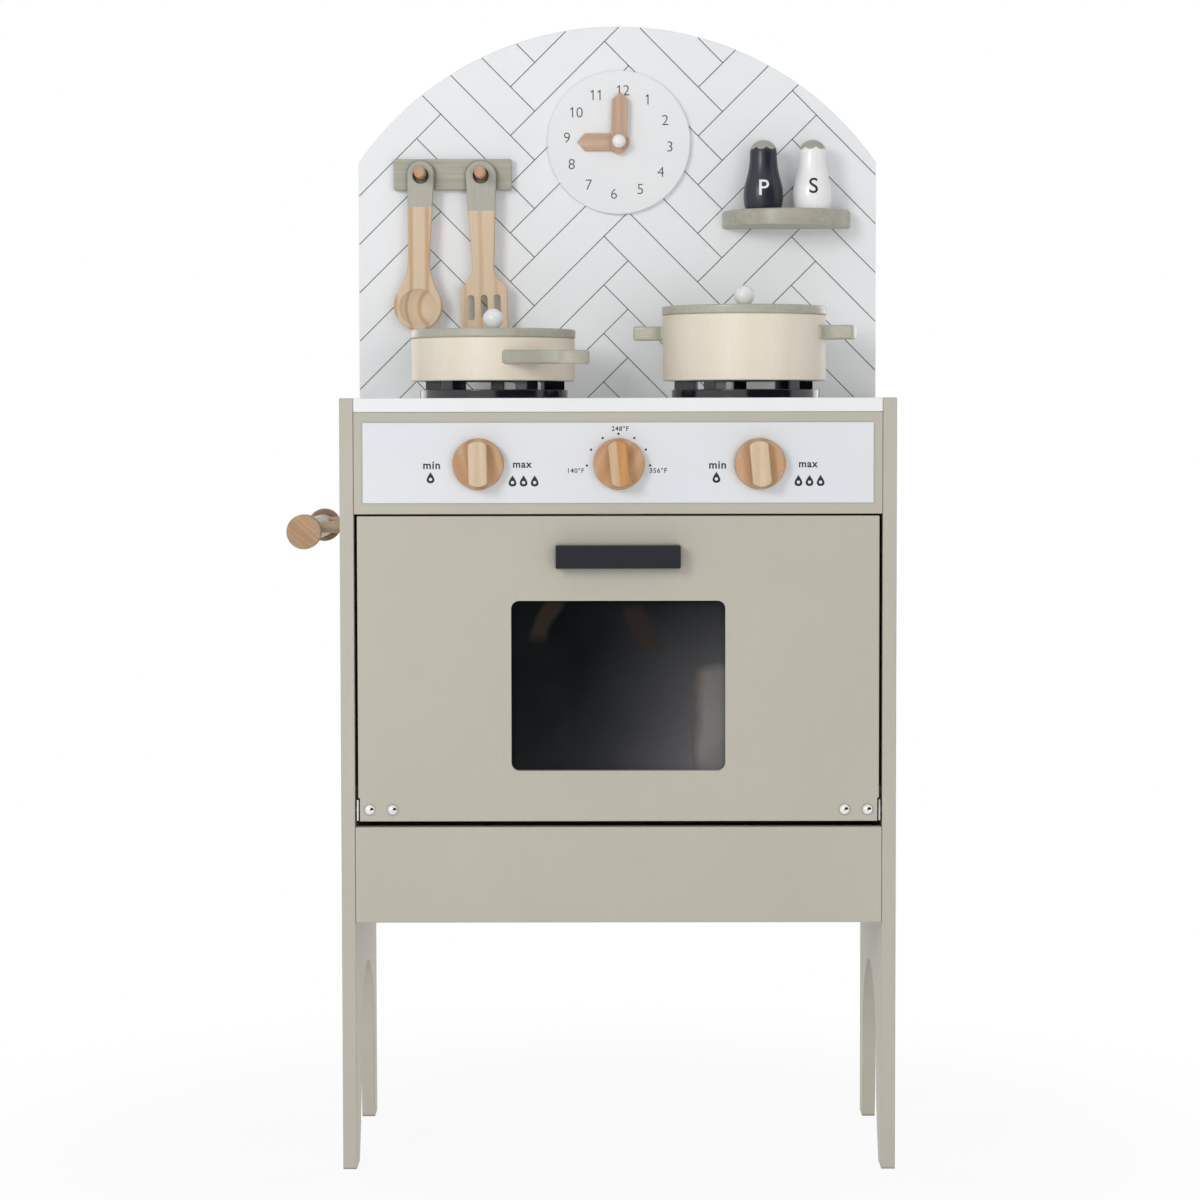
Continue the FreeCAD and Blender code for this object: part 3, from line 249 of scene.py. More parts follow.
def woodFinish(name, changes):
    look = dict(woodBasics, **changes)
    material, tree, shader = newFinish(name)
    bandPoints = surfacePoints(tree, look["turn"], look["shift"], look["bandStretch"])
    fibrePoints = surfacePoints(tree, look["turn"], look["shift"], look["fibreStretch"])
    fleckPoints = surfacePoints(tree, look["turn"], look["shift"], look["fleckStretch"])
    if "layers" in look:
        bandPoints = layerPoints(tree, bandPoints, look["layers"])
    sockets = {"Vector": bandPoints, "Scale": look["bandScale"], "Distortion": look["warp"], "Detail": 3.0,
               "Detail Scale": 1.4}
    wave = addNode(tree, "TexWave", sockets, wave_type="BANDS").outputs["Fac"]
    if "bandPower" in look:
        wave = maths(tree, "POWER", wave, look["bandPower"])
    patch = speckle(tree, bandPoints, look["patchScale"], detail=3.0)
    fibre = speckle(tree, fibrePoints, look["fibreScale"], detail=5.0, rough=0.65)
    fleck = speckle(tree, fleckPoints, look["fleckScale"])
    bands = times(tree, wave, look["bandShare"])
    body = plus(tree, bands, times(tree, patch, 1 - look["bandShare"]))
    tone = blendColours(tree, spread(tree, body, *look["bandSpan"]), look["pale"], look["deep"])
    for layer, height in (("fibre", fibre), ("fleck", fleck)):
        share = spread(tree, height, *look[layer + "Span"], 0.0, look[layer + "Share"])
        tone = blendColours(tree, share, tone, look[layer])
    tone = rubEdges(tree, tone, look)
    if "dipped" in look:
        tone = dipColours(tree, tone, look["dipped"])
    if "halves" in look:
        tone = twoTone(tree, tone, look["halves"])
    normal = dent(tree, fibre, look["fibreDent"], look["dentDepth"])
    normal = dent(tree, fleck, look["fleckDent"], look["dentDepth"], normal)
    plugIn(tree, shader, look, darkenCreases(tree, tone, look), fibre, normal)
    return material


def layerPoints(tree, points, way, flatten=0.2):
    # Growth layers stacked along one direction: x becomes the distance along it, so a hollow shows rings.
    along = addNode(tree, "VectorMath", {0: points, 1: way}, operation="DOT_PRODUCT").outputs["Value"]
    place = addNode(tree, "SeparateXYZ", {0: points}).outputs
    sockets = {"X": along, "Y": times(tree, place["Y"], flatten), "Z": place["Z"]}
    return addNode(tree, "CombineXYZ", sockets).outputs["Vector"]


colourEdge = 0.0002  # half the width over which two colours meet


def dipColours(tree, tone, dip):
    # Above a level line across the handle the wood is painted.
    share = spread(tree, objectPlace(tree)["Z"], dip["line"] - colourEdge, dip["line"] + colourEdge)
    brushed = speckle(tree, surfacePoints(tree, stretch=dip["brushStretch"]), dip["brushScale"], detail=3.0)
    paint = blendColours(tree, noiseSpread(tree, brushed), dip["deep"], dip["pale"])
    return blendColours(tree, share, tone, paint)


def twoTone(tree, tone, halves):
    # The grip is glued up from a paler and a deeper strip that meet along its middle.
    place = objectPlace(tree)
    across = plus(tree, place["X"], times(tree, place["Z"], halves["slope"]))
    share = spread(tree, across, halves["line"] - colourEdge, halves["line"] + colourEdge)
    tint = blendColours(tree, share, halves["left"], halves["right"])
    return blendColours(tree, 1.0, tone, tint, "MULTIPLY")


beech = {"pale": rgb(201, 164, 127), "deep": rgb(183, 143, 106), "fibre": rgb(170, 128, 92),
         "fleck": rgb(152, 108, 72), "edgeWearAndHighlight": rgb(219, 190, 156), "bandScale": 22.0,
         "fleckScale": 1500.0, "fibreShare": 0.45, "fleckShare": 0.55, "gloss": (0.4, 0.55)}
paleWood = {"pale": rgb(217, 195, 167), "deep": rgb(207, 183, 153), "fibre": rgb(194, 166, 133),
            "fleck": rgb(178, 144, 109), "edgeWearAndHighlight": rgb(226, 208, 183), "bandScale": 30.0,
            "fleckScale": 1700.0, "fibreShare": 0.4, "fleckShare": 0.4, "gloss": (0.42, 0.56)}
# The utensils' shade colour paints shadow into their holes, slots and hollow rims.
spoonWood = {"pale": rgb(219, 197, 169), "deep": rgb(199, 165, 129), "fibre": rgb(200, 171, 138),
             "fleck": rgb(184, 150, 116), "edgeWearAndHighlight": rgb(228, 208, 182), "bandScale": 32.4,
             "bandShare": 0.75, "bandPower": 4.0, "warp": 0.8, "layers": (0.67, 0.74, 0.0),
             "fleckScale": 1700.0, "fibreShare": 0.3, "fleckShare": 0.25, "gloss": (0.42, 0.56),
             "crease": rgb(62, 50, 38), "creaseReach": 0.005}
handWood = {"pale": rgb(208, 179, 154), "deep": rgb(193, 162, 136), "fibre": rgb(174, 140, 112),
            "fleck": rgb(160, 122, 92), "edgeWearAndHighlight": rgb(220, 196, 174), "bandScale": 28.0,
            "fleckScale": 1700.0, "fibreShare": 0.45, "fleckShare": 0.45, "gloss": (0.42, 0.56)}
birch = {"pale": rgb(235, 226, 211), "deep": rgb(232, 221, 203), "fibre": rgb(224, 210, 188),
         "fleck": rgb(214, 197, 170), "edgeWearAndHighlight": rgb(238, 229, 214), "bandScale": 9.0,
         "fleckScale": 1300.0, "fibreShare": 0.35, "fleckShare": 0.2, "gloss": (0.45, 0.58)}
hardboard = {"pale": rgb(168, 134, 98), "deep": rgb(152, 118, 84), "fibre": rgb(132, 100, 68),
             "fleck": rgb(118, 88, 58), "edgeWearAndHighlight": rgb(176, 144, 110), "bandScale": 9.0,
             "bandShare": 0.08, "fleckScale": 900.0, "fibreShare": 0.25, "fleckShare": 0.6,
             "gloss": (0.6, 0.75)}


# Moulded plastic, metal and the dark sheet

def mouldedFinish(name, look):
    material, tree, shader = newFinish(name)
    points = surfacePoints(tree)
    drift = speckle(tree, points, look["driftScale"], detail=3.0)
    pebble = speckle(tree, points, look["pebbleScale"])
    tone = blendColours(tree, noiseSpread(tree, drift), look["deep"], look["pale"])
    normal = dent(tree, pebble, look["pebbleDent"], look["pebbleDepth"])
    plugIn(tree, shader, look, rubEdges(tree, tone, look), drift, normal)
    return material


metalBasics = {"shine": 0.5, "scratchScale": 2400.0, "scratchStretch": (1, 1, 0.05), "scratchDepth": 0.0001,
               "cloudScale": 90.0}


def metalFinish(name, changes):
    look = dict(metalBasics, **changes)
    material, tree, shader = newFinish(name)
    drawn = surfacePoints(tree, stretch=look["scratchStretch"])
    scratch = speckle(tree, drawn, look["scratchScale"], detail=4.0, rough=0.7)
    cloud = speckle(tree, surfacePoints(tree), look["cloudScale"], detail=3.0)
    tone = blendColours(tree, noiseSpread(tree, cloud), look["deep"], look["pale"])
    # Painted shade: where parts close by shut the metal off, it goes over to the dark shade colour.
    tone = blendColours(tree, creaseShare(tree, look["creaseReach"]), tone, look["crease"])
    normal = dent(tree, scratch, look["scratchDent"], look["scratchDepth"])
    plugIn(tree, shader, look, tone, scratch, normal)
    shader.inputs["Metallic"].default_value = 1.0
    return material


warmBandFade = {"core": 0.6, "top": 0.04, "bottom": 0.06}


def smearShare(tree, u, down, warmBand):
    # One on a slanted band: |u - (start + slope down)| under its half width, faded between its two ends.
    line = plus(tree, times(tree, down, warmBand["slope"]), warmBand["start"])
    off = maths(tree, "ABSOLUTE", maths(tree, "SUBTRACT", u, line), 0.0)
    across = spread(tree, off, warmBand["half"], warmBand["half"] * warmBandFade["core"])
    ends = [spread(tree, down, warmBand["from"], warmBand["from"] + warmBandFade["top"]),
            spread(tree, down, warmBand["to"], warmBand["to"] - warmBandFade["bottom"], 0.0, warmBand["share"])]
    return times(tree, across, times(tree, *ends))


def smokedFinish(name, look):
    # Dark sheet with a painted reflection, u across and down from its top: reflection = u^power (top + (1 -
    # top) down) + lift down^2 + cloud;
    # two warm bands hang from the top, a paler patch of painted reflection with a wavy edge fills the lower
    # right, and a painted highlight lies in its corner.
    material, tree, shader = newFinish(name)
    low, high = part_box("oven_window")
    points = surfacePoints(tree)
    place = objectPlace(tree)
    rim = look["rim"]
    u = spread(tree, place["X"], low.x + rim, high.x - rim)
    down = spread(tree, place["Z"], high.z - rim, low.z + rim)
    cloud = speckle(tree, points, look["cloudScale"], detail=3.0)
    swell = speckle(tree, points, look["waveScale"], detail=1.0)
    wave = noiseSpread(tree, swell, -look["wave"], look["wave"])
    slant = spread(tree, down, 0.0, 1.0, look["glowTop"], 1.0)
    glow = times(tree, maths(tree, "POWER", u, look["glowPower"]), slant)
    lift = times(tree, maths(tree, "POWER", down, 2.0), look["lift"])
    reflectionCloud = noiseSpread(tree, cloud, -look["cloud"], look["cloud"])
    paintedReflection = plus(tree, plus(tree, glow, lift), reflectionCloud)
    # Painted reflection: dark at the upper left, paler to the right and further down.
    tone = blendColours(tree, paintedReflection, look["dark"], look["grey"])
    wavy = plus(tree, u, wave)
    for warmBand in look["warmBands"]:
        tone = blendColours(tree, smearShare(tree, wavy, down, warmBand), tone, look["warm"])
    lower = spread(tree, plus(tree, down, wave), *look["patchTop"])
    # A brownish fringe of painted reflection runs along the patch's left edge.
    fringe = times(tree, spread(tree, wavy, *look["fringeEdge"], 0.0, look["fringeShare"]), lower)
    tone = blendColours(tree, fringe, tone, look["fringe"])
    depth = spread(tree, down, *look["patchFade"], *look["patchShares"])
    inner = spread(tree, wavy, *look["patchEdge"])
    patch = times(tree, inner, times(tree, lower, depth))
    # Painted reflection: a paler patch over the lower right.
    tone = blendColours(tree, patch, tone, look["reflectedPatch"])
    # Painted highlight in the lower right corner.
    corner = plus(tree, times(tree, u, look["cornerHighlightSlope"]), down)
    cornerHighlight = spread(tree, corner, *look["cornerHighlightEdge"], 0.0, look["cornerHighlightShare"])
    tone = blendColours(tree, cornerHighlight, tone, look["cornerHighlight"])
    ripple = speckle(tree, points, look["rippleScale"])
    plugIn(tree, shader, look, tone, cloud, dent(tree, ripple, look["rippleDent"], look["rippleDepth"]))
    return material


blackPlastic = {"pale": rgb(25, 26, 34), "deep": rgb(18, 19, 26), "edgeWearAndHighlight": rgb(74, 76, 86),
                "gloss": (0.07, 0.13), "shine": 0.7, "driftScale": 18.0, "pebbleScale": 1800.0,
                "pebbleDent": 0.12, "pebbleDepth": 0.0002, "edge": 0.001, "edgeWearAndHighlightShare": 0.3}
polished = {"pale": rgb(236, 236, 235), "deep": rgb(224, 224, 224), "gloss": (0.08, 0.16),
            "scratchDent": 0.02, "crease": rgb(40, 38, 36), "creaseReach": 0.008}
zincSteel = {"pale": rgb(200, 200, 198), "deep": rgb(182, 182, 180), "gloss": (0.28, 0.42),
             "scratchDent": 0.1, "crease": rgb(70, 68, 66), "creaseReach": 0.004}
# The window's colours are a painted reflection: a dark gradient, a paler patch and a highlight in its lower
# right corner.
smokedSheet = {"dark": rgb(7, 11, 13), "grey": rgb(111, 111, 113), "reflectedPatch": rgb(124, 123, 122),
               "warm": rgb(48, 39, 33), "fringe": rgb(86, 77, 70), "cornerHighlight": rgb(92, 93, 94),
               "shine": 0.05, "gloss": (0.08, 0.16), "rim": 0.0078, "glowPower": 2.6, "glowTop": 0.12,
               "lift": 0.055, "cloudScale": 16.0, "cloud": 0.015, "waveScale": 34.0, "wave": 0.014,
               "patchTop": (0.37, 0.42), "patchEdge": (0.85, 0.895), "patchFade": (0.4, 0.7),
               "patchShares": (0.5, 0.75), "fringeEdge": (0.835, 0.85), "fringeShare": 0.5,
               "cornerHighlightSlope": 1.3, "cornerHighlightEdge": (2.08, 2.14), "cornerHighlightShare": 0.3,
               "rippleScale": 14.0, "rippleDent": 0.04, "rippleDepth": 0.002,
               "warmBands": ({"start": 0.2, "slope": -0.32, "half": 0.05, "from": -0.05, "to": 0.26,
                           "share": 0.75},
                          {"start": 0.54, "slope": 0.42, "half": 0.06, "from": 0.02, "to": 0.32,
                           "share": 0.55})}


# Each node gets its finish

def wear(name, material):
    slots = nodes[name].material_slots
    if len(slots):
        slots[0].material = material
    else:
        nodes[name].data.materials.append(material)


def wearAll(material, *names):
    for name in names:
        wear(name, material)


def wooden(name, look, **changes):
    wear(name, woodFinish(name + "Wood", dict(look, **changes)))


boardPaint = paintFinish("greigeBoardPaint", greigeBoards)
wearAll(boardPaint, "side_panel_left", "side_panel_right", "control_fascia", "lower_fascia", "oven_floor",
        "bottom_board", "oven_door")
greyPaint = paintFinish("greyWoodPaint", greyWood)
wearAll(greyPaint, "pepper_cap", "salt_cap")
brushed = {"pale": rgb(186, 183, 168), "deep": rgb(174, 172, 158), "streak": rgb(152, 148, 133),
           "grainScale": 240.0, "grainShare": 0.75, "grainDent": 0.16}
wear("spice_shelf", paintFinish("shelfGreyPaint", dict(greyWood, **brushed)))
# Along the rail a painted contact shadow darkens it beside the utensils hanging in front.
wear("utensil_rail", paintFinish("railGreyPaint", dict(greyWood, **brushed, crease=rgb(58, 52, 44),
                                                       creaseReach=0.004)))
wearAll(paintFinish("potGreyPaint", dict(greyWood, pale=rgb(187, 185, 171), deep=rgb(179, 177, 163))),
        "pan_lid", "pot_lid", "pan_handle", "pot_handles")
wear("towel_bar", paintFinish("towelBarPaint", dict(greyWood, turn=alongY)))
lacquer = paintFinish("whiteLacquer", whiteLacquer)
wearAll(lacquer, "worktop", "clock_dial")
wear("backsplash", paintFinish("tileBoardPaint", tileBoard))
wear("control_plate", paintFinish("printedSheet", printedSheet))
wear("door_handle", paintFinish("handleBlackPaint", blackPaint))
wear("pepper_shaker", paintFinish("pepperNavyPaint", navyPaint))
ballPaint = paintFinish("whiteBallPaint", whiteBall)
wearAll(ballPaint, "salt_shaker", "pan_lid_knob", "pot_lid_knob", "clock_cap")
wear("back_panel", woodFinish("hardboardPanel", hardboard))
blackMould = mouldedFinish("burnerBlackPlastic", blackPlastic)
wearAll(blackMould, "burner_left", "burner_right", "magnet_catch")
chrome = metalFinish("polishedChrome", polished)
wearAll(chrome, "hinge_bolts", "hinge_bracket_left", "hinge_bracket_right")
steel = metalFinish("zincSteel", zincSteel)
wearAll(steel, "carcass_screws", "fitting_screws", "handle_screws", "hinge_pins", "hinge_nuts", "catch_plate",
        "clock_pin", "knob_screw_left", "knob_screw_middle", "knob_screw_right")
wear("oven_window", smokedFinish("smokedWindow", smokedSheet))
wooden("knob_disc_left", beech, turn=(0.0, 0.25, 0.0), shift=(0.11, 0.02, 0.0))
wooden("knob_disc_middle", beech, turn=(0.0, -0.5, 0.0), shift=(0.37, 0.05, 0.2), deep=rgb(190, 143, 100))
wooden("knob_disc_right", beech, turn=(0.0, 0.1, 0.0), shift=(0.71, 0.09, 0.4))
wooden("knob_grip_left", paleWood, shift=(0.05, 0.31, 0.0))
gripMiddle = sum(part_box("knob_grip_middle"), Vector()) / 2
middleGrip = {"slope": 0.1016, "offset": -0.0006, "left": (0.90, 0.81, 0.73, 1.0),
              "right": (0.83, 0.54, 0.28, 1.0)}
middleGrip["line"] = gripMiddle.x + middleGrip["offset"] + middleGrip["slope"] * gripMiddle.z
wooden("knob_grip_middle", paleWood, shift=(0.25, 0.11, 0.3), halves=middleGrip)
wooden("knob_grip_right", paleWood, shift=(0.45, 0.21, 0.6))
wooden("hour_hand", handWood, turn=alongX)
wooden("minute_hand", handWood, shift=(0.2, 0.2, 0.1), pale=rgb(202, 172, 148), deep=rgb(192, 160, 135))
# The towel bar's ends and standoffs get painted shade where the bar and discs shut off the light.
wooden("towel_bar_ends", beech, turn=(0.0, 0.9, 0.0), shift=(0.4, 0.6, 0.0), pale=rgb(188, 157, 126),
       deep=rgb(160, 127, 97), bandScale=70.0, bandShare=0.25, warp=14.0, fleckShare=0.9,
       crease=rgb(84, 64, 44), creaseReach=0.012)
wooden("towel_standoffs", beech, turn=alongX, pale=rgb(199, 180, 153), deep=rgb(182, 160, 131),
       fibre=rgb(162, 138, 108), crease=rgb(78, 64, 46), creaseReach=0.012)
wooden("utensil_pegs", beech, turn=alongY, shift=(0.1, 0.3, 0.0))
wooden("carcass_dowels", beech, turn=alongX)
wooden("pan_body", birch, turn=(0.0, 0.04, 0.0))
wooden("pot_body", birch, turn=(0.0, -0.05, 0.0), shift=(0.3, 0.2, 0.0))
dipPaint = {"pale": rgb(184, 182, 170), "deep": rgb(176, 174, 162), "brushScale": 600.0,
            "brushStretch": (1, 1, 0.05), "spoonLine": 0.8394, "turnerLine": 0.836}
spoonLow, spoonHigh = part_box("wooden_spoon")
# A dark line runs down the spoon's face at this offset from its middle; peak is where a band is darkest.
grainLine = {"offset": -0.006, "peak": 0.00724}
spoonShift = (grainLine["peak"] - (spoonLow.x + spoonHigh.x) / 2 - grainLine["offset"], -spoonLow.y, 0.0)
wooden("wooden_spoon", spoonWood, shift=spoonShift, dipped=dict(dipPaint, line=dipPaint["spoonLine"]))
wooden("slotted_turner", spoonWood, shift=(0.3, 0.1, 0.2), deep=rgb(208, 179, 146), warp=2.5,
       dipped=dict(dipPaint, line=dipPaint["turnerLine"]))
print("stage: finishes on", sum(1 for node in nodes.values() if node.material_slots), "nodes")


# Mesh helpers

def newPiece(name, points, quads, body, material, smooth=False):
    # Rows of points and of four corner numbers become a mesh at once.
    mesh = bpy.data.meshes.new(name)
    mesh.vertices.add(len(points))
    mesh.vertices.foreach_set("co", np.ascontiguousarray(points, np.float32).ravel())
    mesh.loops.add(quads.size)
    mesh.loops.foreach_set("vertex_index", np.ascontiguousarray(quads, np.int32).ravel())
    mesh.polygons.add(len(quads))
    mesh.polygons.foreach_set("loop_start", np.arange(0, quads.size, 4, dtype=np.int32))
    mesh.update(calc_edges=True)
    return finishPiece(name, mesh, body, material, smooth)


def finishPiece(name, mesh, body, material, smooth=False):
    # Doubles at poles and seams are merged and the faces turned outwards before the piece is placed.
    work = bmesh.new()
    work.from_mesh(mesh)
    bmesh.ops.remove_doubles(work, verts=work.verts, dist=1e-7)
    bmesh.ops.dissolve_degenerate(work, edges=work.edges, dist=1e-8)
    bmesh.ops.recalc_face_normals(work, faces=work.faces)
    work.to_mesh(mesh)
    work.free()
    mesh.polygons.foreach_set("use_smooth", np.full(len(mesh.polygons), smooth))
    mesh.materials.clear()
    mesh.materials.append(material)
    piece = bpy.data.objects.new(name, mesh)
    bpy.context.scene.collection.objects.link(piece)
    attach(piece, body)
    return piece


def gridQuads(rows, columns, wrapRows=False, wrapColumns=False):
    # Corner numbers of a grid's cells; a wrapped side joins its last line to its first.
    row = np.arange(rows if wrapRows else rows - 1)
    column = np.arange(columns if wrapColumns else columns - 1)
    r, c = (part.ravel() for part in np.meshgrid(row, column, indexing="ij"))
    rNext, cNext = (r + 1) % rows, (c + 1) % columns
    return np.stack([r * columns + c, rNext * columns + c, rNext * columns + cNext, r * columns + cNext], 1)


def meshPoints(mesh):
    # A mesh's vertices as rows of x, y and z.
    place = np.empty(len(mesh.vertices) * 3)
    mesh.vertices.foreach_get("co", place)
    return place.reshape(-1, 3)


inkBasics = {"shine": 0.5, "gloss": (0.4, 0.55), "soakScale": 900.0, "soakDent": 0.05, "soakDepth": 0.0001}


def inkFinish(name, changes):
    look = dict(inkBasics, **changes)
    material, tree, shader = newFinish(name)
    soak = speckle(tree, surfacePoints(tree), look["soakScale"], detail=3.0)
    tone = blendColours(tree, noiseSpread(tree, soak), look["deep"], look["pale"])
    plugIn(tree, shader, look, tone, soak, dent(tree, soak, look["soakDent"], look["soakDepth"]))
    return material


# Herringbone lines printed on the backsplash

herringbone = {"tile": 31.467, "ratio": 3.873, "turn": 44.754, "start": (96.42, 838.23), "line": 0.84,
               "proud": 0.08, "sunk": 0.05, "rows": 16, "rounds": 4, "inset": 0.55, "tangents": 121,
               "shortest": 0.3, "ink": {"pale": rgb(80, 107, 102), "deep": rgb(52, 80, 76)}}


def herringboneSegments(look):
    # In tile widths, lying tile (k, m) starts at (k + m (r + 1), k + m (1 - r)), and a standing one starts at
    # (r, 1 - r) from it; each tile gives its lower and its left side, and these are every joint once.
    ratio = look["ratio"]
    step, turnNumber = np.meshgrid(np.arange(-look["rows"], look["rows"]),
                                   np.arange(-look["rounds"], look["rounds"] + 1), indexing="ij")
    step, turnNumber = step.ravel(), turnNumber.ravel()
    lyingX, lyingY = step + turnNumber * (ratio + 1), step + turnNumber * (1 - ratio)
    standX, standY = lyingX + ratio, lyingY + 1 - ratio
    ends = np.concatenate([
        np.stack([lyingX, lyingY, lyingX + ratio, lyingY], 1),
        np.stack([lyingX, lyingY, lyingX, lyingY + 1], 1),
        np.stack([standX, standY, standX + 1, standY], 1),
        np.stack([standX, standY, standX, standY + ratio], 1)]) * look["tile"]
    angle = math.radians(look["turn"])
    spin = np.array([[math.cos(angle), math.sin(angle)], [-math.sin(angle), math.cos(angle)]])
    return ends[:, :2] @ spin + look["start"], ends[:, 2:] @ spin + look["start"]


def clipToArch(start, end, look):
    # The board is where every limit n.p <= d holds: two sides, the worktop and the tangents of the arch.
    low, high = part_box("backsplash")
    half = (high.x - low.x) / 2 * perMetre
    top = high.z * perMetre
    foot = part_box("worktop")[1].z * perMetre
    rise = archRise()
    radius = (half ** 2 + rise ** 2) / (2 * rise)
    lean = np.linspace(-1, 1, look["tangents"]) * math.asin(half / radius)
    normal = np.concatenate([[[1, 0], [-1, 0], [0, -1]], np.stack([np.sin(lean), np.cos(lean)], 1)])
    arch = normal[3:] @ np.array([0, top - radius]) + radius
    limit = np.concatenate([[half, half, -foot], arch]) - look["inset"]
    tiny = 1e-9
    way = end - start
    room = limit - start @ normal.T
    run = way @ normal.T
    share = room / np.where(np.abs(run) < tiny, tiny, run)
    first = np.where(run < 0, share, -np.inf).max(1).clip(0, 1)[:, None]
    last = np.where(run > 0, share, np.inf).min(1).clip(0, 1)[:, None]
    longEnough = (last - first)[:, 0] * np.linalg.norm(way, axis=1) > look["shortest"]
    return (start + way * first)[longEnough], (start + way * last)[longEnough]


def archRise(slack=0.01):
    # From the top of the board's upright side, its highest outermost point, to the top of the arch.
    place = meshPoints(nodes["backsplash"].data) * perMetre
    edge = place[:, 0] > place[:, 0].max() - slack
    return place[:, 2].max() - place[edge, 2].max()


def slabs(start, end, face, look):
    # Each strip is closed: the segment widened by half a line each way, from under the face to over it.
    way = (end - start) / np.linalg.norm(end - start, axis=1, keepdims=True)
    side = np.stack([-way[:, 1], way[:, 0]], 1) * look["line"] / 2
    outline = np.stack([start - side, end - side, end + side, start + side], 1)
    depth = np.array([face - look["proud"], face + look["sunk"]])
    points = np.empty((len(start), 2, 4, 3))
    points[..., 0] = outline[:, None, :, 0]
    points[..., 2] = outline[:, None, :, 1]
    points[..., 1] = depth[None, :, None]
    box = np.array([[0, 1, 2, 3], [4, 7, 6, 5], [0, 4, 5, 1], [1, 5, 6, 2], [2, 6, 7, 3], [3, 7, 4, 0]])
    quads = (np.arange(len(start))[:, None, None] * 8 + box[None]).reshape(-1, 4)
    return points.reshape(-1, 3), quads


splashFace = (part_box("backsplash")[0].y - frontY) * perMetre
jointStarts, jointEnds = clipToArch(*herringboneSegments(herringbone), herringbone)
jointPoints, jointQuads = slabs(jointStarts, jointEnds, splashFace, herringbone)
newPiece("herringboneLines", framePoints(jointPoints), jointQuads, "cabinet",
         inkFinish("herringboneInk", herringbone["ink"]))
print("stage: herringbone,", len(jointStarts), "strips")


# Printed words and numbers

def wordMesh(words, thick, width=None, height=None, bold=0.0, spacing=1.0):
    # A text's own outline, filled, given a little thickness and made a mesh that lies in x and z facing -y;
    # it is scaled to the width or the height asked for, in millimetres, and centred.
    curve = bpy.data.curves.new("words", "FONT")
    curve.body = words
    curve.extrude = 0.1  # any depth, because the thickness is set below
    curve.offset = bold
    curve.resolution_u = 5
    curve.space_character = spacing
    holder = bpy.data.objects.new("words", curve)
    bpy.context.scene.collection.objects.link(holder)
    bpy.context.view_layer.update()
    mesh = bpy.data.meshes.new_from_object(holder.evaluated_get(bpy.context.evaluated_depsgraph_get()))
    bpy.data.objects.remove(holder)
    bpy.data.curves.remove(curve)
    low, high = meshPoints(mesh).min(0), meshPoints(mesh).max(0)
    scale = (width / (high - low)[0] if width else height / (high - low)[1]) / perMetre
    middle = Matrix.Translation(-Vector((low + high) / 2))
    size = Matrix.Diagonal((scale, scale, thick / (high - low)[2] / perMetre, 1))
    mesh.transform(Matrix.Rotation(math.radians(90), 4, "X") @ size @ middle)
    return mesh


def joinMeshes(name, parts):
    # Several small meshes, each with its own place, become one.
    work = bmesh.new()
    for mesh, place in parts:
        mesh.transform(Matrix.Translation(Vector(place)))
        work.from_mesh(mesh)
        bpy.data.meshes.remove(mesh)
    joined = bpy.data.meshes.new(name)
    work.to_mesh(joined)
    work.free()
    return joined


darkInk = inkFinish("darkInk", {"pale": rgb(32, 34, 42), "deep": rgb(20, 22, 29)})
greyInk = inkFinish("greyInk", {"pale": rgb(84, 86, 92), "deep": rgb(66, 68, 74)})

clockMarks = {"radius": 47.3, "turn": 5.0, "height": 9.3, "thick": 0.1, "centre": (1.2, 899.2),
              "advance": 6.4, "thin": -0.008, "line": 1.05, "proud": 0.05, "sunk": 0.05, "stroke": (2.0, 2.2)}
dialFace = (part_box("clock_dial")[0].y - frontY) * perMetre
numerals, ones = [], []
for hour in range(1, 13):
    turn = math.radians(hour * 30 + clockMarks["turn"])
    hourX = clockMarks["centre"][0] + clockMarks["radius"] * math.sin(turn)
    hourZ = clockMarks["centre"][1] + clockMarks["radius"] * math.cos(turn)
    for place, digit in enumerate(str(hour)):
        digitX = hourX + (place - (len(str(hour)) - 1) / 2) * clockMarks["advance"]
        if digit == "1":
            ones.append((digitX, hourZ))
        else:
            shape = wordMesh(digit, clockMarks["thick"], height=clockMarks["height"], bold=clockMarks["thin"])
            numerals.append((shape, framePoints((digitX, dialFace, hourZ))))
finishPiece("clockNumerals", joinMeshes("clockNumerals", numerals), "cabinet", greyInk)
# Each one is an upright strip with a short stroke that falls to the left from its top.
ones = np.array(ones)
oneRise = np.array([0, clockMarks["height"] / 2])
strokeTop = np.array([0, clockMarks["line"] / 2])
oneStarts = np.concatenate([ones - oneRise, ones + oneRise - np.array(clockMarks["stroke"])])
oneEnds = np.concatenate([ones + oneRise, ones + oneRise - strokeTop])
onePoints, oneQuads = slabs(oneStarts, oneEnds, dialFace, clockMarks)
newPiece("clockOnes", framePoints(onePoints), oneQuads, "cabinet", greyInk)

plateMarks = {"thick": 0.1, "centres": (-120.1, 0.4, 123.5),
              "words": {"min": (-38.7, 14.4), "max": (38.7, 16.2)}, "wordZ": 606.2, "wordBold": 0.024,
              "wordSpacing": 1.12,
              "degrees": {"140°F": (-36.2, 601.6, 13.6), "248°F": (1.5, 637.3, 14.6),
                          "356°F": (33.9, 601.6, 14.8)},
              "degreeBold": 0.014, "degreeSpacing": 1.15,
              "dotTurns": (-90, 90, 7), "dotRing": 26.95, "dotRadius": 1.0, "dotZ": 605.85, "dotSteps": 24,
              "dropWidth": 6.6, "dropHeight": 9.7, "dropHole": 1.4, "dropHoleRise": 3.35, "dropSteps": 72,
              "dropPower": 1.5, "oneDrop": (-39.7, 595.75), "threeDrops": (39.6, 592.9), "dropPitch": 9.45}
plateFace = (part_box("control_plate")[0].y - frontY) * perMetre
plateWords = []
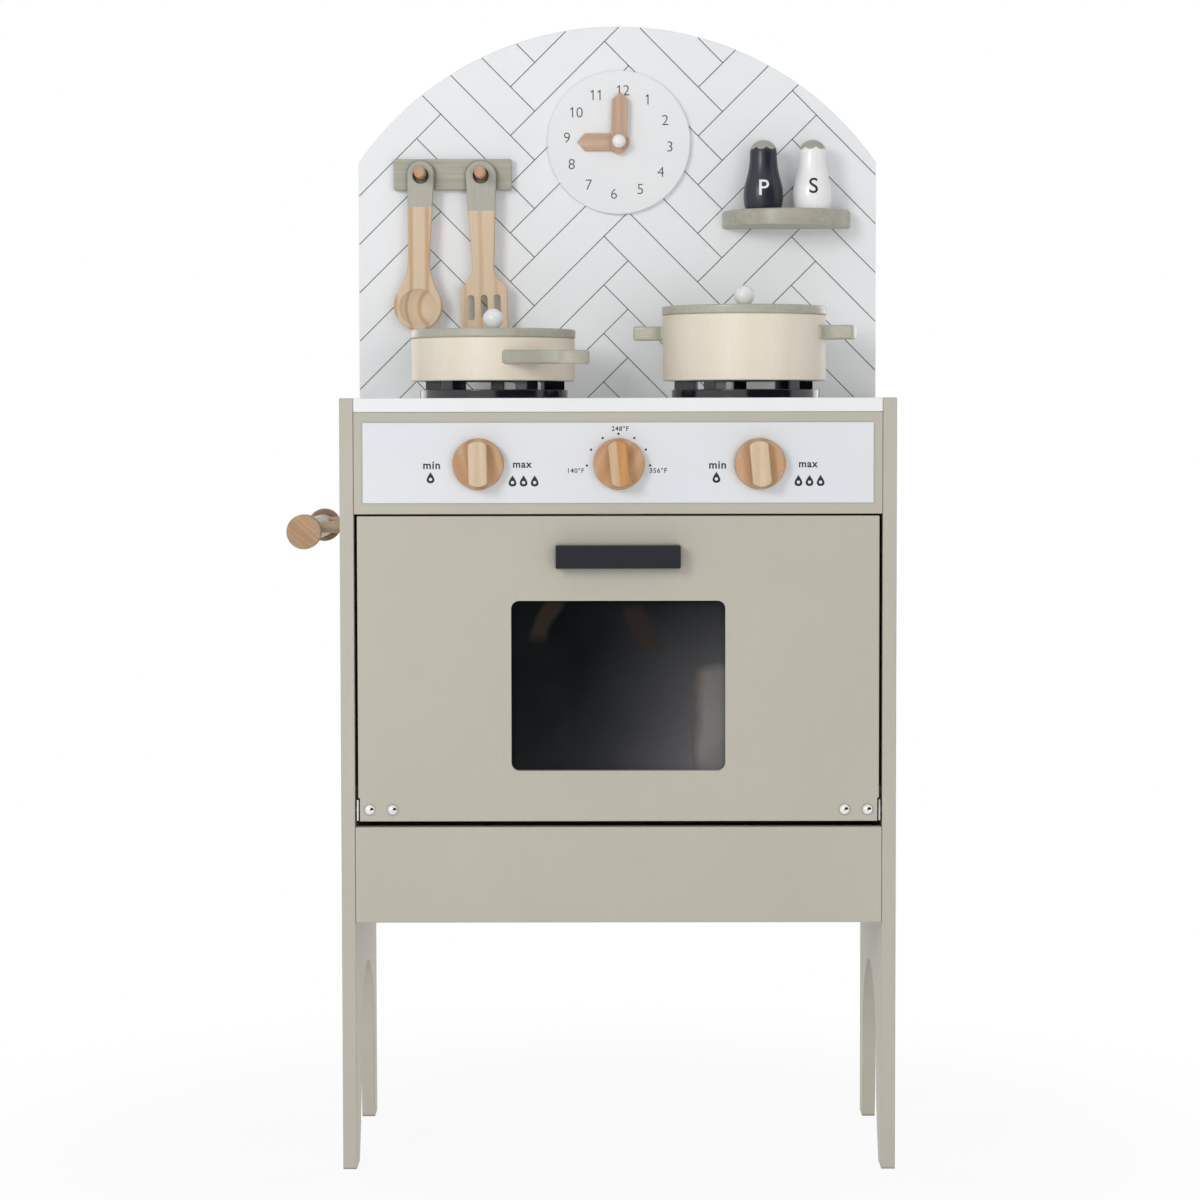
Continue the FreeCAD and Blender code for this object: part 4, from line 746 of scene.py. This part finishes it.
for centre in plateMarks["centres"][::2]:
    for words, (offset, width) in plateMarks["words"].items():
        word = wordMesh(words, plateMarks["thick"], width=width, bold=plateMarks["wordBold"],
                        spacing=plateMarks["wordSpacing"])
        plateWords.append((word, framePoints((centre + offset, plateFace, plateMarks["wordZ"]))))
for words, (offset, z, width) in plateMarks["degrees"].items():
    word = wordMesh(words, plateMarks["thick"], width=width, bold=plateMarks["degreeBold"],
                    spacing=plateMarks["degreeSpacing"])
    plateWords.append((word, framePoints((plateMarks["centres"][1] + offset, plateFace, z))))
finishPiece("plateWords", joinMeshes("plateWords", plateWords), "cabinet", darkInk)


def flameDrop(x, z, look):
    # Round the drop goes a flat band: its outline is z = h/2 cos t and x = sin t sin(t/2)^power, scaled to
    # the width, and its hole is a circle.
    turn = np.linspace(0, 2 * np.pi, look["dropSteps"], endpoint=False)
    flank = np.sin(turn) * np.sin(turn / 2) ** look["dropPower"]
    outX = look["dropWidth"] / 2 * flank / np.abs(flank).max()
    outZ = look["dropHeight"] / 2 * np.cos(turn)
    holeZ = look["dropHoleRise"] - look["dropHeight"] / 2
    inX = look["dropHole"] * np.sin(turn)
    inZ = holeZ + look["dropHole"] * np.cos(turn)
    back, front = plateFace + look["thick"] / 2, plateFace - look["thick"] / 2
    band = [(outX, back, outZ), (outX, front, outZ), (inX, front, inZ), (inX, back, inZ)]
    points = np.stack([np.stack([bx + x, np.full_like(bx, by), bz + z], 1) for bx, by, bz in band], 1)
    return points.reshape(-1, 3), gridQuads(len(turn), len(band), wrapRows=True, wrapColumns=True)


def inkDot(x, z, look):
    # A flat disc turned about its own middle: radius over depth from the front's centre to the back's centre.
    turn = np.linspace(0, 2 * np.pi, look["dotSteps"], endpoint=False)
    radius = np.array([0, 1, 1, 0]) * look["dotRadius"]
    depth = plateFace + np.array([-1, -1, 1, 1]) * look["thick"] / 2
    points = np.stack([x + np.outer(np.cos(turn), radius), np.tile(depth, (len(turn), 1)),
                       z + np.outer(np.sin(turn), radius)], -1)
    return points.reshape(-1, 3), gridQuads(len(turn), len(radius), wrapRows=True)


def gather(shapes):
    # Several point and face arrays become one pair, with the corner numbers moved on.
    points, quads = zip(*shapes)
    starts = np.cumsum([0] + [len(shapePoints) for shapePoints in points[:-1]])
    moved = [shapeQuads + start for shapeQuads, start in zip(quads, starts)]
    return np.concatenate(points), np.concatenate(moved)


marks = []
for centre in plateMarks["centres"][::2]:
    marks.append(flameDrop(centre + plateMarks["oneDrop"][0], plateMarks["oneDrop"][1], plateMarks))
    for place in (-1, 0, 1):
        marks.append(flameDrop(centre + plateMarks["threeDrops"][0] + place * plateMarks["dropPitch"],
                               plateMarks["threeDrops"][1], plateMarks))
for turn in np.radians(np.linspace(*plateMarks["dotTurns"])):
    marks.append(inkDot(plateMarks["centres"][1] + plateMarks["dotRing"] * math.sin(turn),
                        plateMarks["dotZ"] + plateMarks["dotRing"] * math.cos(turn), plateMarks))
markPoints, markQuads = gather(marks)
newPiece("plateMarks", framePoints(markPoints), markQuads, "cabinet", darkInk)
print("stage: clock and control plate printed")


# Shaker letters and scalloped tops

shakerMarks = {"letterHeight": 14.0, "letterThick": 0.4, "letterBold": 0.006,
               "letterRise": {"pepper": 19.0, "salt": 20.6}, "slices": 15, "lobes": 7, "shell": 0.45,
               "valley": 6.1, "lobe": 2.5, "lobePower": 0.7, "turnSteps": 168, "leanSteps": 15}


def onShaker(mesh, node, rise, look):
    # The letter is sliced both ways, then each point moves to the shaker's skin:
    # y = the axis's y - sqrt(r(z)^2 - x^2), with its own thickness added.
    low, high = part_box(node)
    centre = (low + high) / 2
    work = bmesh.new()
    work.from_mesh(mesh)
    reach = look["letterHeight"] / 2 / perMetre
    for way in (Vector((1, 0, 0)), Vector((0, 0, 1))):
        for cut in np.linspace(-reach, reach, look["slices"])[1:-1]:
            everything = work.verts[:] + work.edges[:] + work.faces[:]
            bmesh.ops.bisect_plane(work, geom=everything, plane_co=way * cut, plane_no=way)
    work.to_mesh(mesh)
    work.free()
    place = meshPoints(mesh)
    height = low.z + rise / perMetre + place[:, 2]
    depth = np.sqrt(np.maximum(skinRadius(node, height) ** 2 - place[:, 0] ** 2, 0))
    points = np.stack([centre.x + place[:, 0], centre.y - depth + place[:, 1], height], 1)
    mesh.vertices.foreach_set("co", points.astype(np.float32).ravel())
    mesh.update()
    return mesh


def skinRadius(node, height):
    # The turned piece's radius at each height, read between the rings of its own mesh.
    place = meshPoints(nodes[node].data)
    low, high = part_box(node)
    centre = (low + high) / 2
    radius = np.hypot(place[:, 0] - centre.x, place[:, 1] - centre.y)
    ring, at = np.unique(place[:, 2].round(6), return_inverse=True)
    largest = np.zeros(len(ring))
    np.maximum.at(largest, at, radius)
    return np.interp(height, ring, largest)


def scallopedTop(cap, look):
    # Down from the crown the shell follows the cap's dome, and its edge hangs in lobes:
    # drop = valley + lobe |cos(n a/2)|^power.
    low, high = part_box(cap)
    centre = (low + high) / 2
    radius = (high.x - low.x) / 2
    rise = high.z - low.z
    ball = (radius ** 2 + rise ** 2) / (2 * rise)
    turn = np.linspace(0, 2 * np.pi, look["turnSteps"], endpoint=False)
    wave = np.abs(np.cos(look["lobes"] * turn / 2)) ** look["lobePower"]
    drop = (look["valley"] + look["lobe"] * wave) / perMetre
    lean = np.arccos(1 - drop / ball)
    share = np.linspace(0, 1, look["leanSteps"])
    shell = look["shell"] / perMetre
    outside, inside = ball + shell, ball - shell / 2
    path = np.concatenate([share, share[::-1]])
    size = np.repeat([outside, inside], len(share))
    size[len(share) - 1] -= shell / 4  # the outer edge is eased
    angle = np.outer(lean, path)
    points = np.stack([centre.x + np.cos(turn)[:, None] * size * np.sin(angle),
                       centre.y + np.sin(turn)[:, None] * size * np.sin(angle),
                       high.z - ball + size * np.cos(angle)], -1)
    return points.reshape(-1, 3), gridQuads(len(turn), len(path), wrapRows=True)


whiteInk = inkFinish("whiteLetterInk", {"pale": rgb(240, 241, 243), "deep": rgb(232, 233, 236)})
lettering = (("pepper", "P", "navy_paint", whiteInk), ("salt", "S", "white_wood", darkInk))
for body, letter, slotName, ink in lettering:
    word = wordMesh(letter, shakerMarks["letterThick"], height=shakerMarks["letterHeight"],
                    bold=shakerMarks["letterBold"])
    word = onShaker(word, body + "_shaker", shakerMarks["letterRise"][body], shakerMarks)
    finishPiece(body + "Letter", word, body, ink)
    topPoints, topQuads = scallopedTop(body + "_cap", shakerMarks)
    newPiece(body + "ScallopedTop", topPoints, topQuads, body, greyPaint, smooth=True)
print("stage: shakers lettered and capped")


# Floor, light and camera

floorLook = {"size": 14.0, "lines": 9, "white": 0.93, "drift": 0.01, "driftScale": 3.0, "fadeFrom": 0.26,
             "fadeTo": 0.8, "veil": 0.9}


def floorFinish(look):
    # Near the feet part of the floor's lit shade shows; further out, seen rays meet plain white.
    material = bpy.data.materials.new("paleFloor")
    material.use_nodes = True
    tree = material.node_tree
    tree.nodes.clear()
    points = surfacePoints(tree)
    tone = speckle(tree, points, look["driftScale"])
    pale, paler = ((level, level, level, 1) for level in (look["white"], look["white"] + look["drift"]))
    paint = addNode(tree, "BsdfDiffuse", {"Color": blendColours(tree, tone, pale, paler)})
    glow = addNode(tree, "Emission", {"Color": (1, 1, 1, 1), "Strength": 1.0})
    away = addNode(tree, "VectorMath", {0: points}, operation="LENGTH").outputs["Value"]
    far = addNode(tree, "MapRange", {"Value": away, "From Min": look["fadeFrom"], "From Max": look["fadeTo"]},
                  interpolation_type="SMOOTHERSTEP").outputs["Result"]
    veil = spread(tree, far, 0.0, 1.0, look["veil"], 1.0)
    share = times(tree, veil, seenRays(tree))
    both = addNode(tree, "MixShader", {0: share, 1: paint.outputs["BSDF"], 2: glow.outputs["Emission"]})
    addNode(tree, "OutputMaterial", {"Surface": both.outputs["Shader"]})
    return material


def seenRays(tree):
    # One for rays from the camera, mirrored ones and those that pass through, nothing for light that spreads.
    path = addNode(tree, "LightPath").outputs
    mirrored = maths(tree, "MAXIMUM", path["Is Glossy Ray"], path["Is Transmission Ray"])
    return maths(tree, "MAXIMUM", path["Is Camera Ray"], mirrored)


floorLine = np.linspace(-0.5, 0.5, floorLook["lines"]) * floorLook["size"]
floorX, floorY = (part.ravel() for part in np.meshgrid(floorLine, floorLine, indexing="ij"))
floorPoints = np.stack([floorX, floorY, np.zeros_like(floorX)], 1)
floorQuads = gridQuads(floorLook["lines"], floorLook["lines"])[:, ::-1]
floorMesh = bpy.data.meshes.new("floor")
floorMesh.from_pydata(floorPoints.tolist(), [], floorQuads.tolist())
floorMesh.materials.append(floorFinish(floorLook))
floor = bpy.data.objects.new("floor", floorMesh)
bpy.context.scene.collection.objects.link(floor)

studio = {"skyLight": 0.43, "skyTint": (0.985, 0.99, 1.0, 1.0), "aim": (0.0, 0.1, 0.45),
          "keyPower": 30.5, "keySize": 0.9, "keyPlace": (-1.5, -2.8, 1.55),
          "fillPower": 33.0, "fillSize": 1.8, "fillPlace": (0.9, -3.3, 0.6),
          "backPower": 17.0, "backSize": 1.8, "backPlace": (1.8, 2.4, 0.9), "clothShade": rgb(38, 36, 34),
          "cloth": ((-0.2, -3.4, 0.0), (5.0, -1.2, 0.0), (3.2, -2.4, 3.2), (0.9, -3.2, 2.4))}


def softLamp(name, part, place):
    # A square lamp that the camera doesn't see, turned to the middle of the object.
    lamp = bpy.data.lights.new(name, "AREA")
    lamp.energy = studio[part + "Power"]
    lamp.size = studio[part + "Size"]
    holder = bpy.data.objects.new(name, lamp)
    holder.location = place
    holder.rotation_euler = (Vector(studio["aim"]) - Vector(place)).to_track_quat("-Z", "Y").to_euler()
    holder.visible_camera = False
    bpy.context.scene.collection.objects.link(holder)
    return holder


softLamp("keyLamp", "key", studio["keyPlace"])
fillLamp = softLamp("fillLamp", "fill", studio["fillPlace"])
fillLamp.visible_glossy = False  # so the dark window doesn't mirror it
backX, backY, backZ = studio["backPlace"]
for sign in (-1, 1):
    softLamp("backLamp" + str(sign), "back", (sign * backX, backY, backZ))

# A flag: a dark cloth right of the camera that only mirror rays meet, for polished and dark surfaces.
flagMesh = bpy.data.meshes.new("darkCloth")
flagMesh.from_pydata(studio["cloth"], [], [(3, 2, 1, 0)])
flagPaint = bpy.data.materials.new("darkCloth")
flagPaint.use_nodes = True
flagPaint.node_tree.nodes.clear()
flagGlow = addNode(flagPaint.node_tree, "Emission", {"Color": studio["clothShade"], "Strength": 1.0})
addNode(flagPaint.node_tree, "OutputMaterial", {"Surface": flagGlow.outputs["Emission"]})
flagMesh.materials.append(flagPaint)
flag = bpy.data.objects.new("darkCloth", flagMesh)
flag.visible_camera = flag.visible_diffuse = flag.visible_shadow = flag.visible_transmission = False
bpy.context.scene.collection.objects.link(flag)

world = bpy.data.worlds.new("studioWorld")
bpy.context.scene.world = world
world.use_nodes = True
sky = world.node_tree
sky.nodes.clear()
skyLight = addNode(sky, "Background", {"Color": studio["skyTint"], "Strength": studio["skyLight"]})
skyWhite = addNode(sky, "Background", {"Color": (1, 1, 1, 1), "Strength": 1.0})
skyMix = addNode(sky, "MixShader", {0: seenRays(sky), 1: skyLight.outputs[0], 2: skyWhite.outputs[0]})
addNode(sky, "OutputWorld", {"Surface": skyMix.outputs[0]})

# Place in millimetres as framePoints takes them, focal length and width in pixels, angles in radians.
photoView = {"place": (-5.11, -2821.0, 639.6), "focal": 3308.17, "width": 1200.0, "tilt": 0.0526,
             "yaw": 0.0037, "roll": -0.0017, "sensor": 36.0, "near": 0.05, "far": 60.0}
lens = bpy.data.cameras.new("photoCamera")
lens.sensor_fit = "HORIZONTAL"
lens.sensor_width = photoView["sensor"]
lens.lens = photoView["focal"] / photoView["width"] * photoView["sensor"]
lens.clip_start, lens.clip_end = photoView["near"], photoView["far"]
levelRight = Vector((math.cos(photoView["yaw"]), math.sin(photoView["yaw"]), 0))
levelAhead = Vector((-math.sin(photoView["yaw"]), math.cos(photoView["yaw"]), 0))
ahead = levelAhead * math.cos(photoView["tilt"]) - Vector((0, 0, 1)) * math.sin(photoView["tilt"])
levelUp = levelRight.cross(ahead)
rolledRight = levelRight * math.cos(photoView["roll"]) + levelUp * math.sin(photoView["roll"])
rolledUp = rolledRight.cross(ahead)
facing = Matrix((rolledRight, rolledUp, -ahead)).transposed().to_4x4()
camera = bpy.data.objects.new("photoCamera", lens)
camera.matrix_world = Matrix.Translation(Vector(framePoints(photoView["place"]))) @ facing
bpy.context.scene.collection.objects.link(camera)
bpy.context.scene.camera = camera
bpy.context.scene.view_settings.view_transform = "Standard"
print("stage: floor, light and camera")
